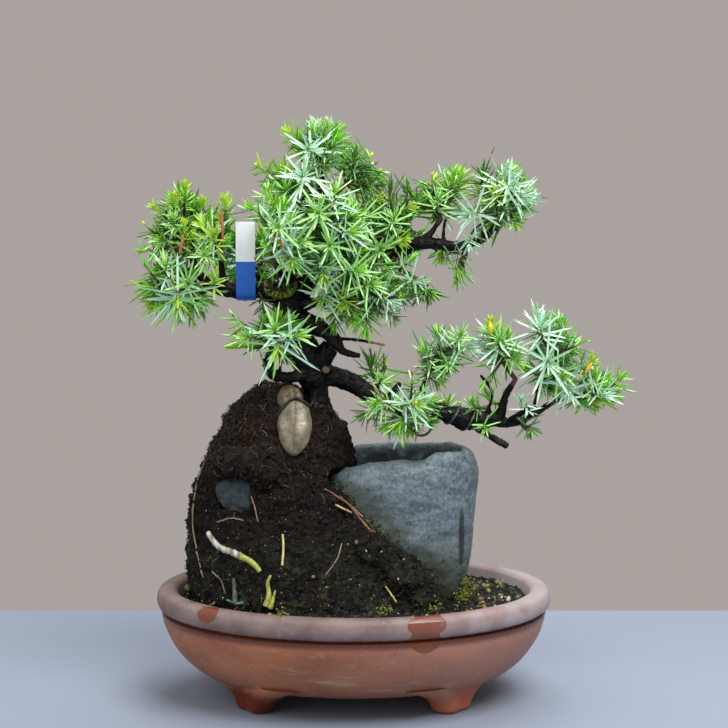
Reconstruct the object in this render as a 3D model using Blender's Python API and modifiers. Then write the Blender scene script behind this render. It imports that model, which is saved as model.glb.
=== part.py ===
"""Needle juniper bonsai growing over a peat mound and a hollowed stone, in an oval clay pot.

Metres, +Z up. Every piece is laid out about the middle of the pot, on the level that its
feet stand on, and the last step moves them together until the bounding box is centred on Z.
The tree is one trunk with tapering boughs, and each bough carries masses of needles: twigs
that branch by a seeded rule from one stem, with sprays of needles fused to them.
"""

import math
import random

import bmesh
import bpy
from mathutils import Matrix, Vector, geometry

MM = 0.001
GAP = 0.3 * MM  # between pieces that touch on the real bonsai

# The pot: an oval bowl under a thick rounded lip, on four feet
POT_LENGTH = 180 * MM
POT_DEPTH = 143 * MM
POT_HEIGHT = 50 * MM
POT_SEGMENTS = 28
LIP_HEIGHT = 9 * MM
LIP_WIDTH = 9.5 * MM
FLOOR_BELOW = 8.5 * MM
FLOOR_ABOVE = 13.5 * MM
BOWL_INSET = 32 * MM  # the bowl's bottom edge, in from the lip's outer face
FOOT_ANGLE = math.radians(38)
FOOT_INSET = 35 * MM
SOIL_LEVEL = 45 * MM

# The peat mound and what is bedded in it
MOUND_SEGMENTS = 18
TRUNK_SEAT = Vector((-17, -2, 129)) * MM
SEAT_RADIUS = 12.5 * MM
SEAT_TOP_RADIUS = 9 * MM
STONE_SEGMENTS = 18
STONE_CENTRE = Vector((21.5, -2, 0)) * MM
STONE_RIM_RISE = (2.75 * MM, 1.25 * MM, -2.75 * MM)  # the rim's rise to the right and back, and its twist
EMBEDDED_CENTRE = Vector((-48, -22.5, 95)) * MM
EMBEDDED_HALF = Vector((13, 8.5, 11)) * MM
PEBBLE_CENTRE = Vector((-26, -23.4, 126)) * MM
PEBBLE_LENGTH = 27.5 * MM
PEBBLE_WIDTH = 15.5 * MM
PEBBLE_THICKNESS = 9 * MM
PEBBLE_LEAN = math.radians(-24)

# The blank label strip round the left bough
LABEL_X = -48 * MM
LABEL_WIDTH = 8.6 * MM
LABEL_THICKNESS = 0.6 * MM
LABEL_TOP = 214 * MM
LABEL_LOOSENESS = 1.5 * MM
LABEL_ROOM = 7 * MM  # kept free of needles in front of the bough, behind it and below it

SLIM_RADIUS = 2.5 * MM  # limbs thinner than this have four sides
TRUNK_RESOLUTION = 2
SEAT_HEIGHT = 20 * MM  # of the room cut in the mound for the trunk's foot

# Wire
TRAINING_WIRE_RADIUS = 0.6 * MM
TRAINING_WIRE_SHARES = (0.50, 0.70)  # where its turns begin and end along the low right bough
TRAINING_HOOK_CENTRE = Vector((30.5, -8.6, 124.5)) * MM
TRAINING_HOOK_RADIUS = 4.6 * MM
WIRE_TURNS = 3
TIE_WIRE_RADIUS = 0.55 * MM
TIE_WIRE_SHARE = 0.77  # where it crosses the pebble, from its point
TIE_WIRE_SAG = 0.8 * MM
TIE_WIRE_KNOT = 0.11  # where it meets the trunk, as a share of the trunk's length

# Sprays of needles
NEEDLE_LENGTH = 11.5 * MM
NEEDLE_LEAN = 0.35  # how far a needle leans towards its shoot's tip
NEEDLE_SWEEP = 1.3  # how much further the last needles lean
CORE_RADIUS = 1.45 * MM
CORE_LENGTH = 8.5 * MM
CORE_ROWS = ((0, 1.1 * MM), (0.34, CORE_RADIUS), (0.72, 1.2 * MM))  # share of the length, and radius
CORE_TWIST = 0.5
NEEDLE_RADIUS = 1.0 * MM
NEIGHBOUR_MARGIN = 0.1  # between two masses, as a share of their half sizes
NEEDLE_ROOM = 0.15 * MM
TWIG_RADIUS = 0.8 * MM
STEM_RADIUS = 1.2 * MM
STEM_NECK = 2.5 * MM
STEM_REACH = 1.2  # the stem's length, as a share of the way to its mass's middle
SHORTEST_SHOOT = 4 * MM
SHOOT_TRIES = 5
NEEDLE_INSET = 0.6  # how much of a needle's length the last needles reach past their twig
UPTURN = 0.22  # how far each shoot turns up from its twig
GOLDEN_ANGLE = math.pi * (3 - math.sqrt(5))
FUSE_SOLVER = "MANIFOLD"
SEED = 67

# Each limb as the places it passes through, in millimetres: X, Y, Z and its radius there.
# A limb starts inside its parent and is cut back to that parent's bark.
LIMBS = {
    "trunk": (None, [
        (-17, -2, 129.3, 9.2), (-17, -2.5, 139, 6.4), (-19.5, -4, 151, 7.8), (-26.5, -3.5, 164, 7.4),
        (-28.5, -1, 178, 7.9), (-22, 2, 193, 6.2), (-14, 0.5, 212, 3.9), (-15, -3, 238, 1.6)]),
    "bough_right_low": ("trunk", [
        (-17, -2, 147.5, 4.8), (-4, -2, 144.5, 4.3), (12, -4, 136, 3.6), (24, -6, 133, 3.2),
        (36, -6, 131.5, 2.8), (54, -3, 127, 4.0), (63, 0, 127, 3.2), (74, 0, 124.5, 1.9),
        (90, 3, 133, 1.3)]),
    "bough_right_high": ("trunk", [
        (-17, 2, 199, 4.2), (0, 4, 197.5, 3.7), (22, 2, 203, 2.9), (31, 1, 206.5, 2.6),
        (47, 0, 205, 2.1), (59, -2, 209, 1.7), (65, -3, 216, 1.3)]),
    "bough_left": ("trunk", [
        (-28, -2, 182, 4.8), (-42, -6, 185.5, 4.0), (-58, -8, 186, 3.3), (-68, -6, 191, 2.4),
        (-73, -4, 201, 1.5)]),
    "bough_loop": ("trunk", [
        (-19, -5, 149, 3.2), (-28, -12, 146.5, 2.6), (-36, -17, 148.5, 2.4), (-37.5, -19, 154, 2.1),
        (-36.5, -20, 159, 1.8)]),
    "bough_front": ("trunk", [(-24, 1, 189, 3.2), (-29, -13, 191, 2.3), (-34, -21, 197, 1.5)]),
    "bough_centre": ("trunk", [(-19, 1, 196, 2.8), (-15, -9, 196, 2.0), (-12, -15, 198, 1.4)]),
    "bough_low": ("trunk", [(-27, -1, 178, 3.0), (-17, -8, 180, 2.2), (-10, -11, 182, 1.5)]),
    "bough_back": ("trunk", [(-24, 1, 189, 3.6), (-21, 17, 194, 2.5), (-17, 28, 203, 1.5)]),
    "bough_back_left": ("trunk", [(-28, 0, 180, 3.4), (-38, 15, 184, 2.4), (-45, 24, 190, 1.5)]),
    "bough_back_right": ("bough_right_high", [(2, 4, 198, 2.6), (7, 16, 201, 1.9), (13, 25, 204, 1.4)]),
    "dead_hook": ("trunk", [
        (-28, -3, 174, 5.0), (-17, -8, 169.5, 3.9), (-9, -10, 164, 3.0), (-4.5, -10, 158, 1.7),
        (3, -9, 156, 1.0)]),
    "dead_twig": ("dead_hook", [(-8.5, -9.8, 164, 0.9), (2, -7.5, 163, 0.8), (14, -4, 160.5, 0.5)]),
    "twig_high": ("bough_right_high", [(30, 1, 206, 1.8), (35, 2.5, 211, 1.5), (38, 3.5, 215, 1.2)]),
    "twig_upright": ("bough_left", [(-57, -8, 186, 1.7), (-58.5, -10, 193, 1.3), (-59, -11.5, 199, 1.0)]),
    "twig_low_inner": ("bough_right_low", [(31, -6, 132, 1.6), (31, -3, 139, 1.2), (32.5, -1, 144, 1.0)]),
    "twig_arch": ("bough_right_low", [(60, -2, 127.5, 1.1), (62.5, -6, 139, 0.8), (57, -9, 147.5, 0.7)]),
    "twig_low_middle": ("bough_right_low", [(66, 0, 126.5, 2.4), (69, -2, 137, 1.7), (72, -4, 143, 1.1)]),
    "twig_low_outer": ("bough_right_low", [(81, 1.5, 127.5, 1.2), (83.5, 4, 135, 0.9), (84, 5, 140, 0.8)]),
    "dead_stub_low": ("bough_right_low", [(55, -3, 126, 1.7), (61, -7, 120, 1.5), (69, -12, 115.5, 1.4)]),
    "dead_stub_short": ("bough_right_low", [(71, 0, 125.5, 1.5), (75.5, -5, 129.5, 1.3), (79, -8, 132, 1.3)]),
}
CUT_STUB = [(-18, -5, 150, 4.8), (-13.5, -8, 156, 4.4), (-10.5, -9.5, 160, 4.2)]

# The root flare: each root's bearing in degrees and its reach, and the shape that all share, as
# rows of share of the reach, height above the seat and radius
ROOTS = {
    "root_left": (195, 10.5), "root_front": (262, 10.0), "root_right": (338, 10.5), "root_back": (80, 10.0)}
ROOT_PROFILE = ((0.15, 8, 3.6), (0.62, 2.4, 2.6), (1, 0.2, 1.3))

# Each mass of needles: its limb, how far along it the stem leaves (1 is the tip), the middle
# and half sizes of the space that it keeps to, in millimetres, and its number of shoots.
MASSES = {
    "needles_apex": ("trunk", 1.0, (-15, -3, 250), (19, 18, 18), 7),
    "needles_apex_right": ("trunk", 0.9, (3, 4, 239), (17, 16, 18), 6),
    "needles_upper_left": ("trunk", 0.82, (-30, -7, 229), (20, 18, 17), 7),
    "needles_front_left": ("bough_front", 1.0, (-35, -28, 208), (22, 18, 24), 8),
    "needles_centre": ("bough_centre", 1.0, (-10, -24, 205), (24, 19, 25), 10),
    "needles_centre_right": ("bough_right_high", 0.3, (15, -3, 213), (19, 19, 21), 7),
    "needles_low_centre": ("bough_low", 1.0, (3, -14, 182), (25, 19, 17), 7),
    "needles_right_small": ("bough_right_high", 0.4, (31, -7, 189), (16, 14, 15), 4),
    "needles_left_top": ("bough_left", 1.0, (-76, -1, 213), (22, 22, 23), 8),
    "needles_left_low": ("bough_left", 0.72, (-82, -9, 183), (23, 20, 20), 7),
    "needles_left_near": ("twig_upright", 1.0, (-59, -14, 208), (14, 16, 19), 4),
    "needles_high_inner": ("twig_high", 1.0, (38, 3, 227), (22, 19, 18), 7),
    "needles_high_outer": ("bough_right_high", 1.0, (68, -3, 224), (21, 20, 23), 8),
    "needles_high_hanging": ("bough_right_high", 0.78, (47, 0, 192), (13, 13, 14), 3),
    "needles_loop": ("bough_loop", 1.0, (-36, -23, 163), (25, 19, 17), 7),
    "needles_low_front": ("bough_right_low", 0.36, (23, -18, 129), (22, 17, 15), 7),
    "needles_low_behind": ("bough_right_low", 0.24, (14, 10, 148), (16, 15, 13), 4),
    "needles_low_inner": ("twig_low_inner", 1.0, (37, 1, 154), (20, 18, 18), 7),
    "needles_low_middle": ("twig_low_middle", 1.0, (64, -6, 157), (16, 16, 18), 6),
    "needles_low_outer": ("twig_low_outer", 1.0, (90, 2, 155), (22, 21, 24), 9),
    "needles_low_tip": ("bough_right_low", 1.0, (110, 4, 139), (20, 17, 16), 6),
    "needles_low_under": ("bough_right_low", 0.86, (79, -6, 121), (16, 14, 10), 3),
    "needles_back": ("bough_back", 1.0, (-12, 31, 212), (24, 19, 23), 7),
    "needles_back_left": ("bough_back_left", 1.0, (-51, 28, 199), (22, 19, 20), 6),
    "needles_back_right": ("bough_back_right", 1.0, (21, 29, 208), (20, 18, 19), 6),
}

MATERIALS = {
    "clay": ((0.42, 0.19, 0.13, 1), 0.7),
    "peat": ((0.045, 0.033, 0.024, 1), 0.95),
    "stone": ((0.19, 0.22, 0.23, 1), 0.6),
    "pebble": ((0.40, 0.33, 0.22, 1), 0.5),
    "bark": ((0.035, 0.027, 0.026, 1), 0.55),
    "dead_wood": ((0.10, 0.07, 0.05, 1), 0.7),
    "needles": ((0.16, 0.36, 0.12, 1), 0.5),
    "wire": ((0.10, 0.09, 0.085, 1), 0.45),
    "label": ((0.55, 0.68, 0.90, 1), 0.4),
}


def clear_scene():
    for item in list(bpy.data.objects):
        bpy.data.objects.remove(item)


def make_collection(name, hidden=False):
    made = bpy.data.collections.new(name)
    made.hide_render = hidden
    bpy.context.scene.collection.children.link(made)
    return made


def make_materials():
    made = {}
    for name, (colour, roughness) in MATERIALS.items():
        material = bpy.data.materials.new(name)
        material.use_nodes = True
        shader = material.node_tree.nodes["Principled BSDF"]
        shader.inputs["Base Color"].default_value = colour
        shader.inputs["Roughness"].default_value = roughness
        material.diffuse_color = colour
        made[name] = material
    return made


def add_object(name, data, collection):
    item = bpy.data.objects.new(name, data)
    collection.objects.link(item)
    return item


def mesh_object(name, bm, collection, smooth_below=math.radians(40)):
    bmesh.ops.recalc_face_normals(bm, faces=bm.faces)
    if bm.calc_volume(signed=True) < 0:
        bmesh.ops.reverse_faces(bm, faces=bm.faces)
    mesh = bpy.data.meshes.new(name)
    bm.to_mesh(mesh)
    bm.free()
    mesh.shade_smooth()
    mesh.set_sharp_from_angle(angle=smooth_below)
    return add_object(name, mesh, collection)


def finish(item, material):
    item.data.materials.clear()
    item.data.materials.append(materials[material])
    return item


def as_cutter(item):
    item.hide_render = True
    item.display_type = "WIRE"
    return item


def boolean(item, operation, cutter):
    modifier = item.modifiers.new(operation.lower() + "_" + cutter.name, "BOOLEAN")
    modifier.operation = operation
    modifier.object = cutter
    modifier.solver = "EXACT"
    return item


def bake(item):
    """Replace the object's mesh by the one its modifiers give, and drop the modifiers."""
    bpy.context.view_layer.update()
    graph = bpy.context.evaluated_depsgraph_get()
    mesh = bpy.data.meshes.new_from_object(item.evaluated_get(graph))
    item.modifiers.clear()
    item.data = mesh
    return item


def loft(name, rings, collection):
    """A closed skin over rings of equally many points, with a flat face on the first and last."""
    bm = bmesh.new()
    rows = [[bm.verts.new(point) for point in ring] for ring in rings]
    count = len(rows[0])
    for low, high in zip(rows, rows[1:]):
        for k in range(count):
            following = (k + 1) % count
            bm.faces.new((low[k], low[following], high[following], high[k]))
    bm.faces.new(rows[0])
    bm.faces.new(rows[-1])
    return mesh_object(name, bm, collection)


def oval(centre, half_x, half_y, count, power=2.0, ripple=0.0):
    """Points round a superellipse in a level plane; ripple swells and pinches it a little."""
    points = []
    for k in range(count):
        angle = 2 * math.pi * k / count
        wave = 1 + ripple * (math.sin(3 * angle + 0.6) + 0.6 * math.sin(5 * angle + 2.1))
        reach = abs(math.cos(angle)) ** power + abs(math.sin(angle)) ** power
        reach = wave * reach ** (-1 / power)
        points.append(Vector((
            centre.x + half_x * reach * math.cos(angle),
            centre.y + half_y * reach * math.sin(angle),
            centre.z)))
    return points


def pot_ring(inset, height):
    return oval(Vector((0, 0, height)), POT_LENGTH / 2 - inset, POT_DEPTH / 2 - inset, POT_SEGMENTS)


def bowl_profile():
    """Inset and height down the outside of the bowl, from under the lip to its bottom edge."""
    top = POT_HEIGHT - LIP_HEIGHT - 2 * MM
    steps = 4
    for k in range(steps + 1):
        angle = math.pi / 2 * k / steps
        yield (
            2 * MM + (BOWL_INSET - 2 * MM) * (1 - math.cos(angle)) ** 0.9,
            top - (top - FLOOR_BELOW) * math.sin(angle) ** 1.15,
        )


def make_pot():
    """The bowl, its lip and its hollow as one loft, with four feet joined on below."""
    under_lip = POT_HEIGHT - LIP_HEIGHT
    outside = list(bowl_profile())[::-1]
    lip = [
        (3.8 * MM, under_lip - 1.2 * MM), (1.2 * MM, under_lip), (0, under_lip + 2.6 * MM),
        (0.4 * MM, POT_HEIGHT - 2.2 * MM), (2.6 * MM, POT_HEIGHT),
        (LIP_WIDTH - 1.8 * MM, POT_HEIGHT), (LIP_WIDTH, POT_HEIGHT - 1.4 * MM),
    ]
    hollow = [
        (inset + (LIP_WIDTH - 2 * MM), height + FLOOR_ABOVE - FLOOR_BELOW)
        for inset, height in reversed(outside) if height + FLOOR_ABOVE - FLOOR_BELOW < under_lip
    ]
    rings = [pot_ring(inset, height) for inset, height in outside + lip + hollow]
    pot = loft("pot", rings, bonsai)
    for index in range(4):
        pot = boolean(pot, "UNION", make_foot(index))
    return finish(bake(pot), "clay"), hollow


def foot_place(index):
    angle = FOOT_ANGLE * (1 if index % 2 else -1) + (math.pi if index >= 2 else 0)
    return Vector((
        (POT_LENGTH / 2 - FOOT_INSET) * math.cos(angle),
        (POT_DEPTH / 2 - FOOT_INSET + 10 * MM) * math.sin(angle), 0))


def make_foot(index):
    """A foot that spreads upwards into the bowl, longer along the pot's edge than across it."""
    place = foot_place(index)
    sections = ((0, 9, 5.6), (1.2, 10.2, 6.4), (4.5, 12.2, 6.8), (8, 16.5, 7.8), (13, 21.5, 8.6))
    turn = math.atan2(place.y * 1.3, place.x) + math.pi / 2
    rings = []
    for height, half_long, half_wide in sections:
        ring = oval(Vector((0, 0, height * MM)), half_long * MM, half_wide * MM, 12, power=2.6)
        rings.append([place + Matrix.Rotation(turn, 3, "Z") @ point for point in ring])
    return as_cutter(loft(f"foot_{index}", rings, cutters))


def make_soil(hollow):
    """What fills the pot, clear of its wall, up to a level below the lip."""
    inside = [(inset + GAP, height + GAP) for inset, height in reversed(hollow)]
    inside = [(inset, height) for inset, height in inside if height < SOIL_LEVEL - 2 * MM]
    inside.append((inside[-1][0] - 0.3 * MM, SOIL_LEVEL))
    return finish(loft("soil", [pot_ring(*place) for place in inside], bonsai), "peat")


def rim_rise(point):
    """How far the hollowed stone's rim lies above its mean level at a point's X and Y."""
    u = (point.x - STONE_CENTRE.x) / (34 * MM)
    v = (point.y - STONE_CENTRE.y) / (18 * MM)
    return STONE_RIM_RISE[0] * u + STONE_RIM_RISE[1] * v + STONE_RIM_RISE[2] * u * v


def hollowed_stone(name, grow, collection):
    """The standing stone, narrow at its foot, with a basin in its top that tilts to the left."""
    outside = (
        (SOIL_LEVEL / MM + 0.3, 28, 18), (58, 31, 20), (76, 33.5, 21.5), (95, 35, 22),
        (103, 34.6, 21.4), (108.5, 32.5, 19.4), (110.6, 29.5, 16.8), (109.8, 27, 14.2),
    )
    basin = ((104.5, 24.5, 12), (100, 21, 10), (98.8, 14, 6.5))
    rings = []
    for height, half_x, half_y in outside + basin:
        above = max(0.0, (height - 72) / 38)
        ring = oval(
            STONE_CENTRE + Vector((-1.0 * (1 - above), 0, height)) * MM,
            half_x * MM, half_y * MM, STONE_SEGMENTS, power=2.5, ripple=0.018)
        rings.append([point + Vector((0, 0, above * rim_rise(point))) for point in ring])
    stone = loft(name, rings, collection)
    if grow:
        thicken(stone, grow)
    return stone


def thicken(item, distance):
    """Move each vertex outwards along its normal, for a cutter that leaves a gap."""
    for vertex in item.data.vertices:
        vertex.co = vertex.co + vertex.normal * distance
    return item


def ellipsoid(name, centre, half, collection):
    bm = bmesh.new()
    bmesh.ops.create_uvsphere(bm, u_segments=12, v_segments=6, radius=1)
    place = Matrix.Translation(centre) @ Matrix.Diagonal((*half, 1))
    bmesh.ops.transform(bm, matrix=place, verts=bm.verts)
    return mesh_object(name, bm, collection, smooth_below=math.radians(60))


def almond_width(share):
    """The pebble's width at a share of its length from its point, 1 at its widest."""
    return math.sin(math.pi * share ** 1.15) ** 0.46


def almond(name, grow, collection):
    """A flattened pebble, egg-shaped, with its narrower end below."""
    rows = 8
    rings = []
    for k in range(rows):
        share = 0.03 + 0.94 * k / (rows - 1)  # 0 at the point, 1 at the blunt end
        width = almond_width(share)
        centre = Vector((0, 0, PEBBLE_LENGTH * (share - 0.5)))
        rings.append(oval(
            centre, width * PEBBLE_WIDTH / 2 + grow, width * PEBBLE_THICKNESS / 2 + grow, 12))
    place = Matrix.Translation(PEBBLE_CENTRE) @ Matrix.Rotation(PEBBLE_LEAN, 4, "X")
    return loft(name, [[place @ point for point in ring] for ring in rings], collection)


def make_mound():
    """The steep peat mound, cut clear of the two stones, the pebble and the trunk's flat seat."""
    sections = (
        (SOIL_LEVEL / MM + 0.3, -14.5, -1, 61, 54), (52, -21.5, -1, 56, 50), (68, -27, -1, 50, 44.5),
        (85, -31, 0, 43, 37.5), (101, -34, 0, 36, 31), (115, -33, 0, 31.5, 26.5),
        (124, -31.5, 0, 27.5, 22.5), (133, -31, 0, 21.5, 17.5), (140.5, -32, 0, 10, 9),
    )
    rings = [
        oval(Vector((x, y, z)) * MM, half_x * MM, half_y * MM, MOUND_SEGMENTS, ripple=0.022)
        for z, x, y, half_x, half_y in sections
    ]
    mound = loft("mound", rings, bonsai)
    bm = bmesh.new()
    bmesh.ops.create_cone(
        bm, cap_ends=True, segments=20, radius1=SEAT_RADIUS, radius2=SEAT_TOP_RADIUS, depth=SEAT_HEIGHT,
        matrix=Matrix.Translation(TRUNK_SEAT + Vector((0, 0, SEAT_HEIGHT / 2))))
    seat = as_cutter(mesh_object("seat_cutter", bm, cutters))
    stone = as_cutter(hollowed_stone("stone_cutter", GAP, cutters))
    embedded = as_cutter(ellipsoid(
        "embedded_cutter", EMBEDDED_CENTRE, EMBEDDED_HALF + Vector((GAP, GAP, GAP)), cutters))
    pebble = as_cutter(almond("pebble_cutter", GAP, cutters))
    for cutter in (seat, stone, embedded, pebble):
        boolean(mound, "DIFFERENCE", cutter)
    return finish(bake(mound), "peat")


def smooth_path(places, steps=3):
    """Points and radii along the smooth (Catmull-Rom) curve through a limb's places."""
    rows = [Vector(place) * MM for place in places]
    ends = [2 * rows[0] - rows[1], *rows, 2 * rows[-1] - rows[-2]]
    path = []
    for before, here, there, after in zip(ends, ends[1:], ends[2:], ends[3:]):
        for k in range(steps):
            t = k / steps
            path.append(0.5 * (
                2 * here + (there - before) * t
                + (2 * before - 5 * here + 4 * there - after) * t ** 2
                + (3 * here - before - 3 * there + after) * t ** 3))
    path.append(rows[-1])
    return [(point.xyz, point.w) for point in path]


def tube(name, path, collection, resolution=None, grow=0.0):
    """A tapering tube along a path of points and radii, as a closed mesh: slim ones have four sides."""
    if resolution is None:
        resolution = 1 if path[0][1] > SLIM_RADIUS else 0
    curve = bpy.data.curves.new(name, "CURVE")
    curve.dimensions = "3D"
    curve.bevel_depth = 1.0
    curve.bevel_resolution = resolution
    curve.use_fill_caps = True
    spline = curve.splines.new("POLY")
    spline.points.add(len(path) - 1)
    for point, (place, radius) in zip(spline.points, path):
        point.co = (*place, 1)
        point.radius = radius + grow
    guide = add_object(name + "_curve", curve, collection)
    bpy.context.view_layer.update()
    graph = bpy.context.evaluated_depsgraph_get()
    mesh = bpy.data.meshes.new_from_object(guide.evaluated_get(graph))
    bpy.data.objects.remove(guide)
    bm = bmesh.new()
    bm.from_mesh(mesh)
    bpy.data.meshes.remove(mesh)
    bmesh.ops.remove_doubles(bm, verts=bm.verts, dist=0.01 * MM)
    return mesh_object(name, bm, collection, smooth_below=math.radians(60))


def make_trunk():
    """The trunk with its cut stub and root flare, cut flat where it stands on the mound."""
    trunk = tube("trunk", paths["trunk"], bonsai, TRUNK_RESOLUTION)
    pieces = [tube("cut_stub", smooth_path(CUT_STUB, 2), cutters)]
    foot = TRUNK_SEAT / MM
    for name, (bearing, reach) in ROOTS.items():
        out = Vector((math.cos(math.radians(bearing)), math.sin(math.radians(bearing)), 0)) * reach
        places = []
        for share, rise, radius in ROOT_PROFILE:
            places.append((*(foot + out * share + Vector((0, 0, rise))), radius))
        pieces.append(tube(name, smooth_path(places, 2), cutters))
    for piece in pieces:
        boolean(trunk, "UNION", as_cutter(piece))
    bm = bmesh.new()
    width, below = 80 * MM, 20 * MM
    middle = TRUNK_SEAT + Vector((0, 0, GAP - below / 2))
    bmesh.ops.create_cube(
        bm, size=1, matrix=Matrix.Translation(middle) @ Matrix.Diagonal((width, width, below, 1)))
    boolean(trunk, "DIFFERENCE", as_cutter(mesh_object("ground_cutter", bm, cutters)))
    return finish(bake(trunk), "bark")


def make_limb(name, parent):
    """A bough, twig or stub, cut back to its parent's bark with a small gap."""
    limb = tube(name, paths[name], bonsai)
    if parent == "trunk":
        around = [tube(f"{name}_trunk_cutter", paths[parent], cutters, TRUNK_RESOLUTION, GAP),
                  tube(f"{name}_stub_cutter", smooth_path(CUT_STUB, 2), cutters, grow=GAP)]
    else:
        around = [tube(f"{name}_cutter", paths[parent], cutters, grow=GAP)]
    for cutter in around:
        boolean(limb, "DIFFERENCE", as_cutter(cutter))
    keep_largest(bake(limb))
    return finish(bake(limb), "dead_wood" if name.startswith("dead") else "bark")


def along(name, share):
    """The point, direction and radius at a share of a limb's length."""
    path = paths[name]
    if share >= 1:
        return path[-1][0], (path[-1][0] - path[-2][0]).normalized(), path[-1][1]
    lengths = [(b[0] - a[0]).length for a, b in zip(path, path[1:])]
    left = share * sum(lengths)
    index = 0
    while left > lengths[index]:
        left -= lengths[index]
        index += 1
    (start, first), (end, last) = path[index], path[index + 1]
    t = left / lengths[index]
    return start.lerp(end, t), (end - start).normalized(), first + (last - first) * t


def training_wire_path():
    """An open hook hanging under the low right bough, then turns round the bough."""
    path = []
    steps = 11
    for k in range(steps):
        angle = math.radians(170 + 235 * k / (steps - 1))
        out = Vector((math.cos(angle), 0, math.sin(angle)))
        path.append(TRAINING_HOOK_CENTRE + out * TRAINING_HOOK_RADIUS)
    points_a_turn = 8
    total = WIRE_TURNS * points_a_turn
    begin, end = TRAINING_WIRE_SHARES
    for k in range(total + 1):
        middle, heading, radius = along("bough_right_low", begin + (end - begin) * k / total)
        side = heading.cross(Vector((0, 0, 1))).normalized()
        up = side.cross(heading)
        angle = 2 * math.pi * k / points_a_turn - math.radians(35)
        clear = radius + TRAINING_WIRE_RADIUS + 0.35 * MM
        path.append(middle + (side * math.cos(angle) + up * math.sin(angle)) * clear)
    return [(point, TRAINING_WIRE_RADIUS) for point in path]


def tie_wire_path():
    """A band across the pebble's upper part, tucked back on its left and tied to the trunk."""
    lean = Matrix.Rotation(PEBBLE_LEAN, 3, "X")
    width = almond_width(TIE_WIRE_SHARE)
    clear = TIE_WIRE_RADIUS + GAP
    band = []
    steps = 12
    for k in range(steps + 1):
        angle = math.radians(-195 + 205 * k / steps)
        point = Vector((
            (PEBBLE_WIDTH / 2 * width + clear) * math.cos(angle),
            (PEBBLE_THICKNESS / 2 * width + clear) * math.sin(angle),
            PEBBLE_LENGTH * (TIE_WIRE_SHARE - 0.5) - TIE_WIRE_SAG * math.sin(angle)))
        band.append(PEBBLE_CENTRE + lean @ point)
    trunk_front, _, trunk_radius = along("trunk", TIE_WIRE_KNOT)
    knot = trunk_front + Vector((0, -trunk_radius - clear, 0))
    halfway = band[-1].lerp(knot, 0.5) + Vector((0.6, -1.2, 0)) * MM
    return [(point, TIE_WIRE_RADIUS) for point in [*band, halfway, knot]]


def label_place():
    """The point on the left bough that the label hangs round, and the bough's radius there."""
    share = min((abs(along("bough_left", k / 100)[0].x - LABEL_X), k / 100) for k in range(101))[1]
    middle, _, radius = along("bough_left", share)
    return middle, radius


def make_label():
    """A thin strip looped once round the left bough, its tail standing up in front of it."""
    middle, radius = label_place()
    loop = radius + LABEL_LOOSENESS
    line = [Vector((0, -loop, LABEL_TOP - middle.z))]
    steps = 11
    for k in range(steps + 1):
        angle = math.radians(180 + 325 * k / steps)
        line.append(Vector((0, loop * math.cos(angle), loop * math.sin(angle))))
    bm = bmesh.new()
    rows = []
    for point in line:
        place = Vector((LABEL_X, middle.y, middle.z)) + point
        rows.append([bm.verts.new(place + Vector((side * LABEL_WIDTH / 2, 0, 0))) for side in (-1, 1)])
    for low, high in zip(rows, rows[1:]):
        bm.faces.new((low[0], low[1], high[1], high[0]))
    label = mesh_object("label_strip", bm, bonsai)
    solidify = label.modifiers.new("thickness", "SOLIDIFY")
    solidify.thickness = LABEL_THICKNESS
    solidify.offset = 0
    return finish(label, "label")


class Space:
    """The room that one mass keeps to: its ellipsoid, less what neighbours and limbs take."""

    def __init__(self, name):
        _, _, centre, half, _ = MASSES[name]
        self.name = name
        self.centre = Vector(centre) * MM
        self.half = Vector(half) * MM
        self.others = []
        self.solids = []
        self.taken = []

    def depth(self, point):
        """0 at the middle of the ellipsoid and 1 at its surface."""
        away = point - self.centre
        return Vector((away.x / self.half.x, away.y / self.half.y, away.z / self.half.z)).length

    def reach(self, point, way):
        """How far it is from a point inside the ellipsoid to its surface."""
        away = point - self.centre
        p = Vector([a / h for a, h in zip(away, self.half)])
        q = Vector([a / h for a, h in zip(way, self.half)])
        along_way = p.dot(q) / q.length_squared
        inside = along_way ** 2 - (p.length_squared - 1) / q.length_squared
        return math.sqrt(inside) - along_way if inside > 0 else 0.0

    def keeps(self, point, thickness):
        own = self.depth(point)
        if own > 1:
            return False
        if any(other.depth(point) < own + NEIGHBOUR_MARGIN for other in self.others):
            return False
        return not any(solid(point) < thickness + GAP for solid in self.solids)

    def free(self, start, end, first, last):
        """Whether a needle or twig of these radii would pass clear of what has grown here."""
        return all(clearance((start, end, first, last), other) > NEEDLE_ROOM for other in self.taken)


def clearance(one, other):
    """The least distance between the skins of two tapering rods, about their nearest points."""
    start, end, first, last = one
    low, high, near, far = other
    run, span = end - start, high - low
    found = geometry.intersect_line_line(start, end, low, high) or (start, low)
    s = share_along(found[0], start, run)
    t = share_along(start + run * s, low, span)
    s = share_along(low + span * t, start, run)
    gap = (start + run * s - low - span * t).length
    return gap - (first + (last - first) * s) - (near + (far - near) * t)


def share_along(point, start, run):
    return max(0.0, min(1.0, (point - start).dot(run) / run.length_squared))


def capsule(first, last):
    """The distance from a point to a length of limb, as a function of the point."""
    (start, first_radius), (end, last_radius) = first, last
    run = end - start

    def distance(point):
        t = max(0.0, min(1.0, (point - start).dot(run) / run.length_squared))
        return (point - start - run * t).length - (first_radius + (last_radius - first_radius) * t)

    return distance


def block(low, high):
    """The distance from a point to a box, as a function of the point."""

    def distance(point):
        return Vector([max(a - p, 0.0, p - b) for a, p, b in zip(low, point, high)]).length

    return distance


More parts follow.
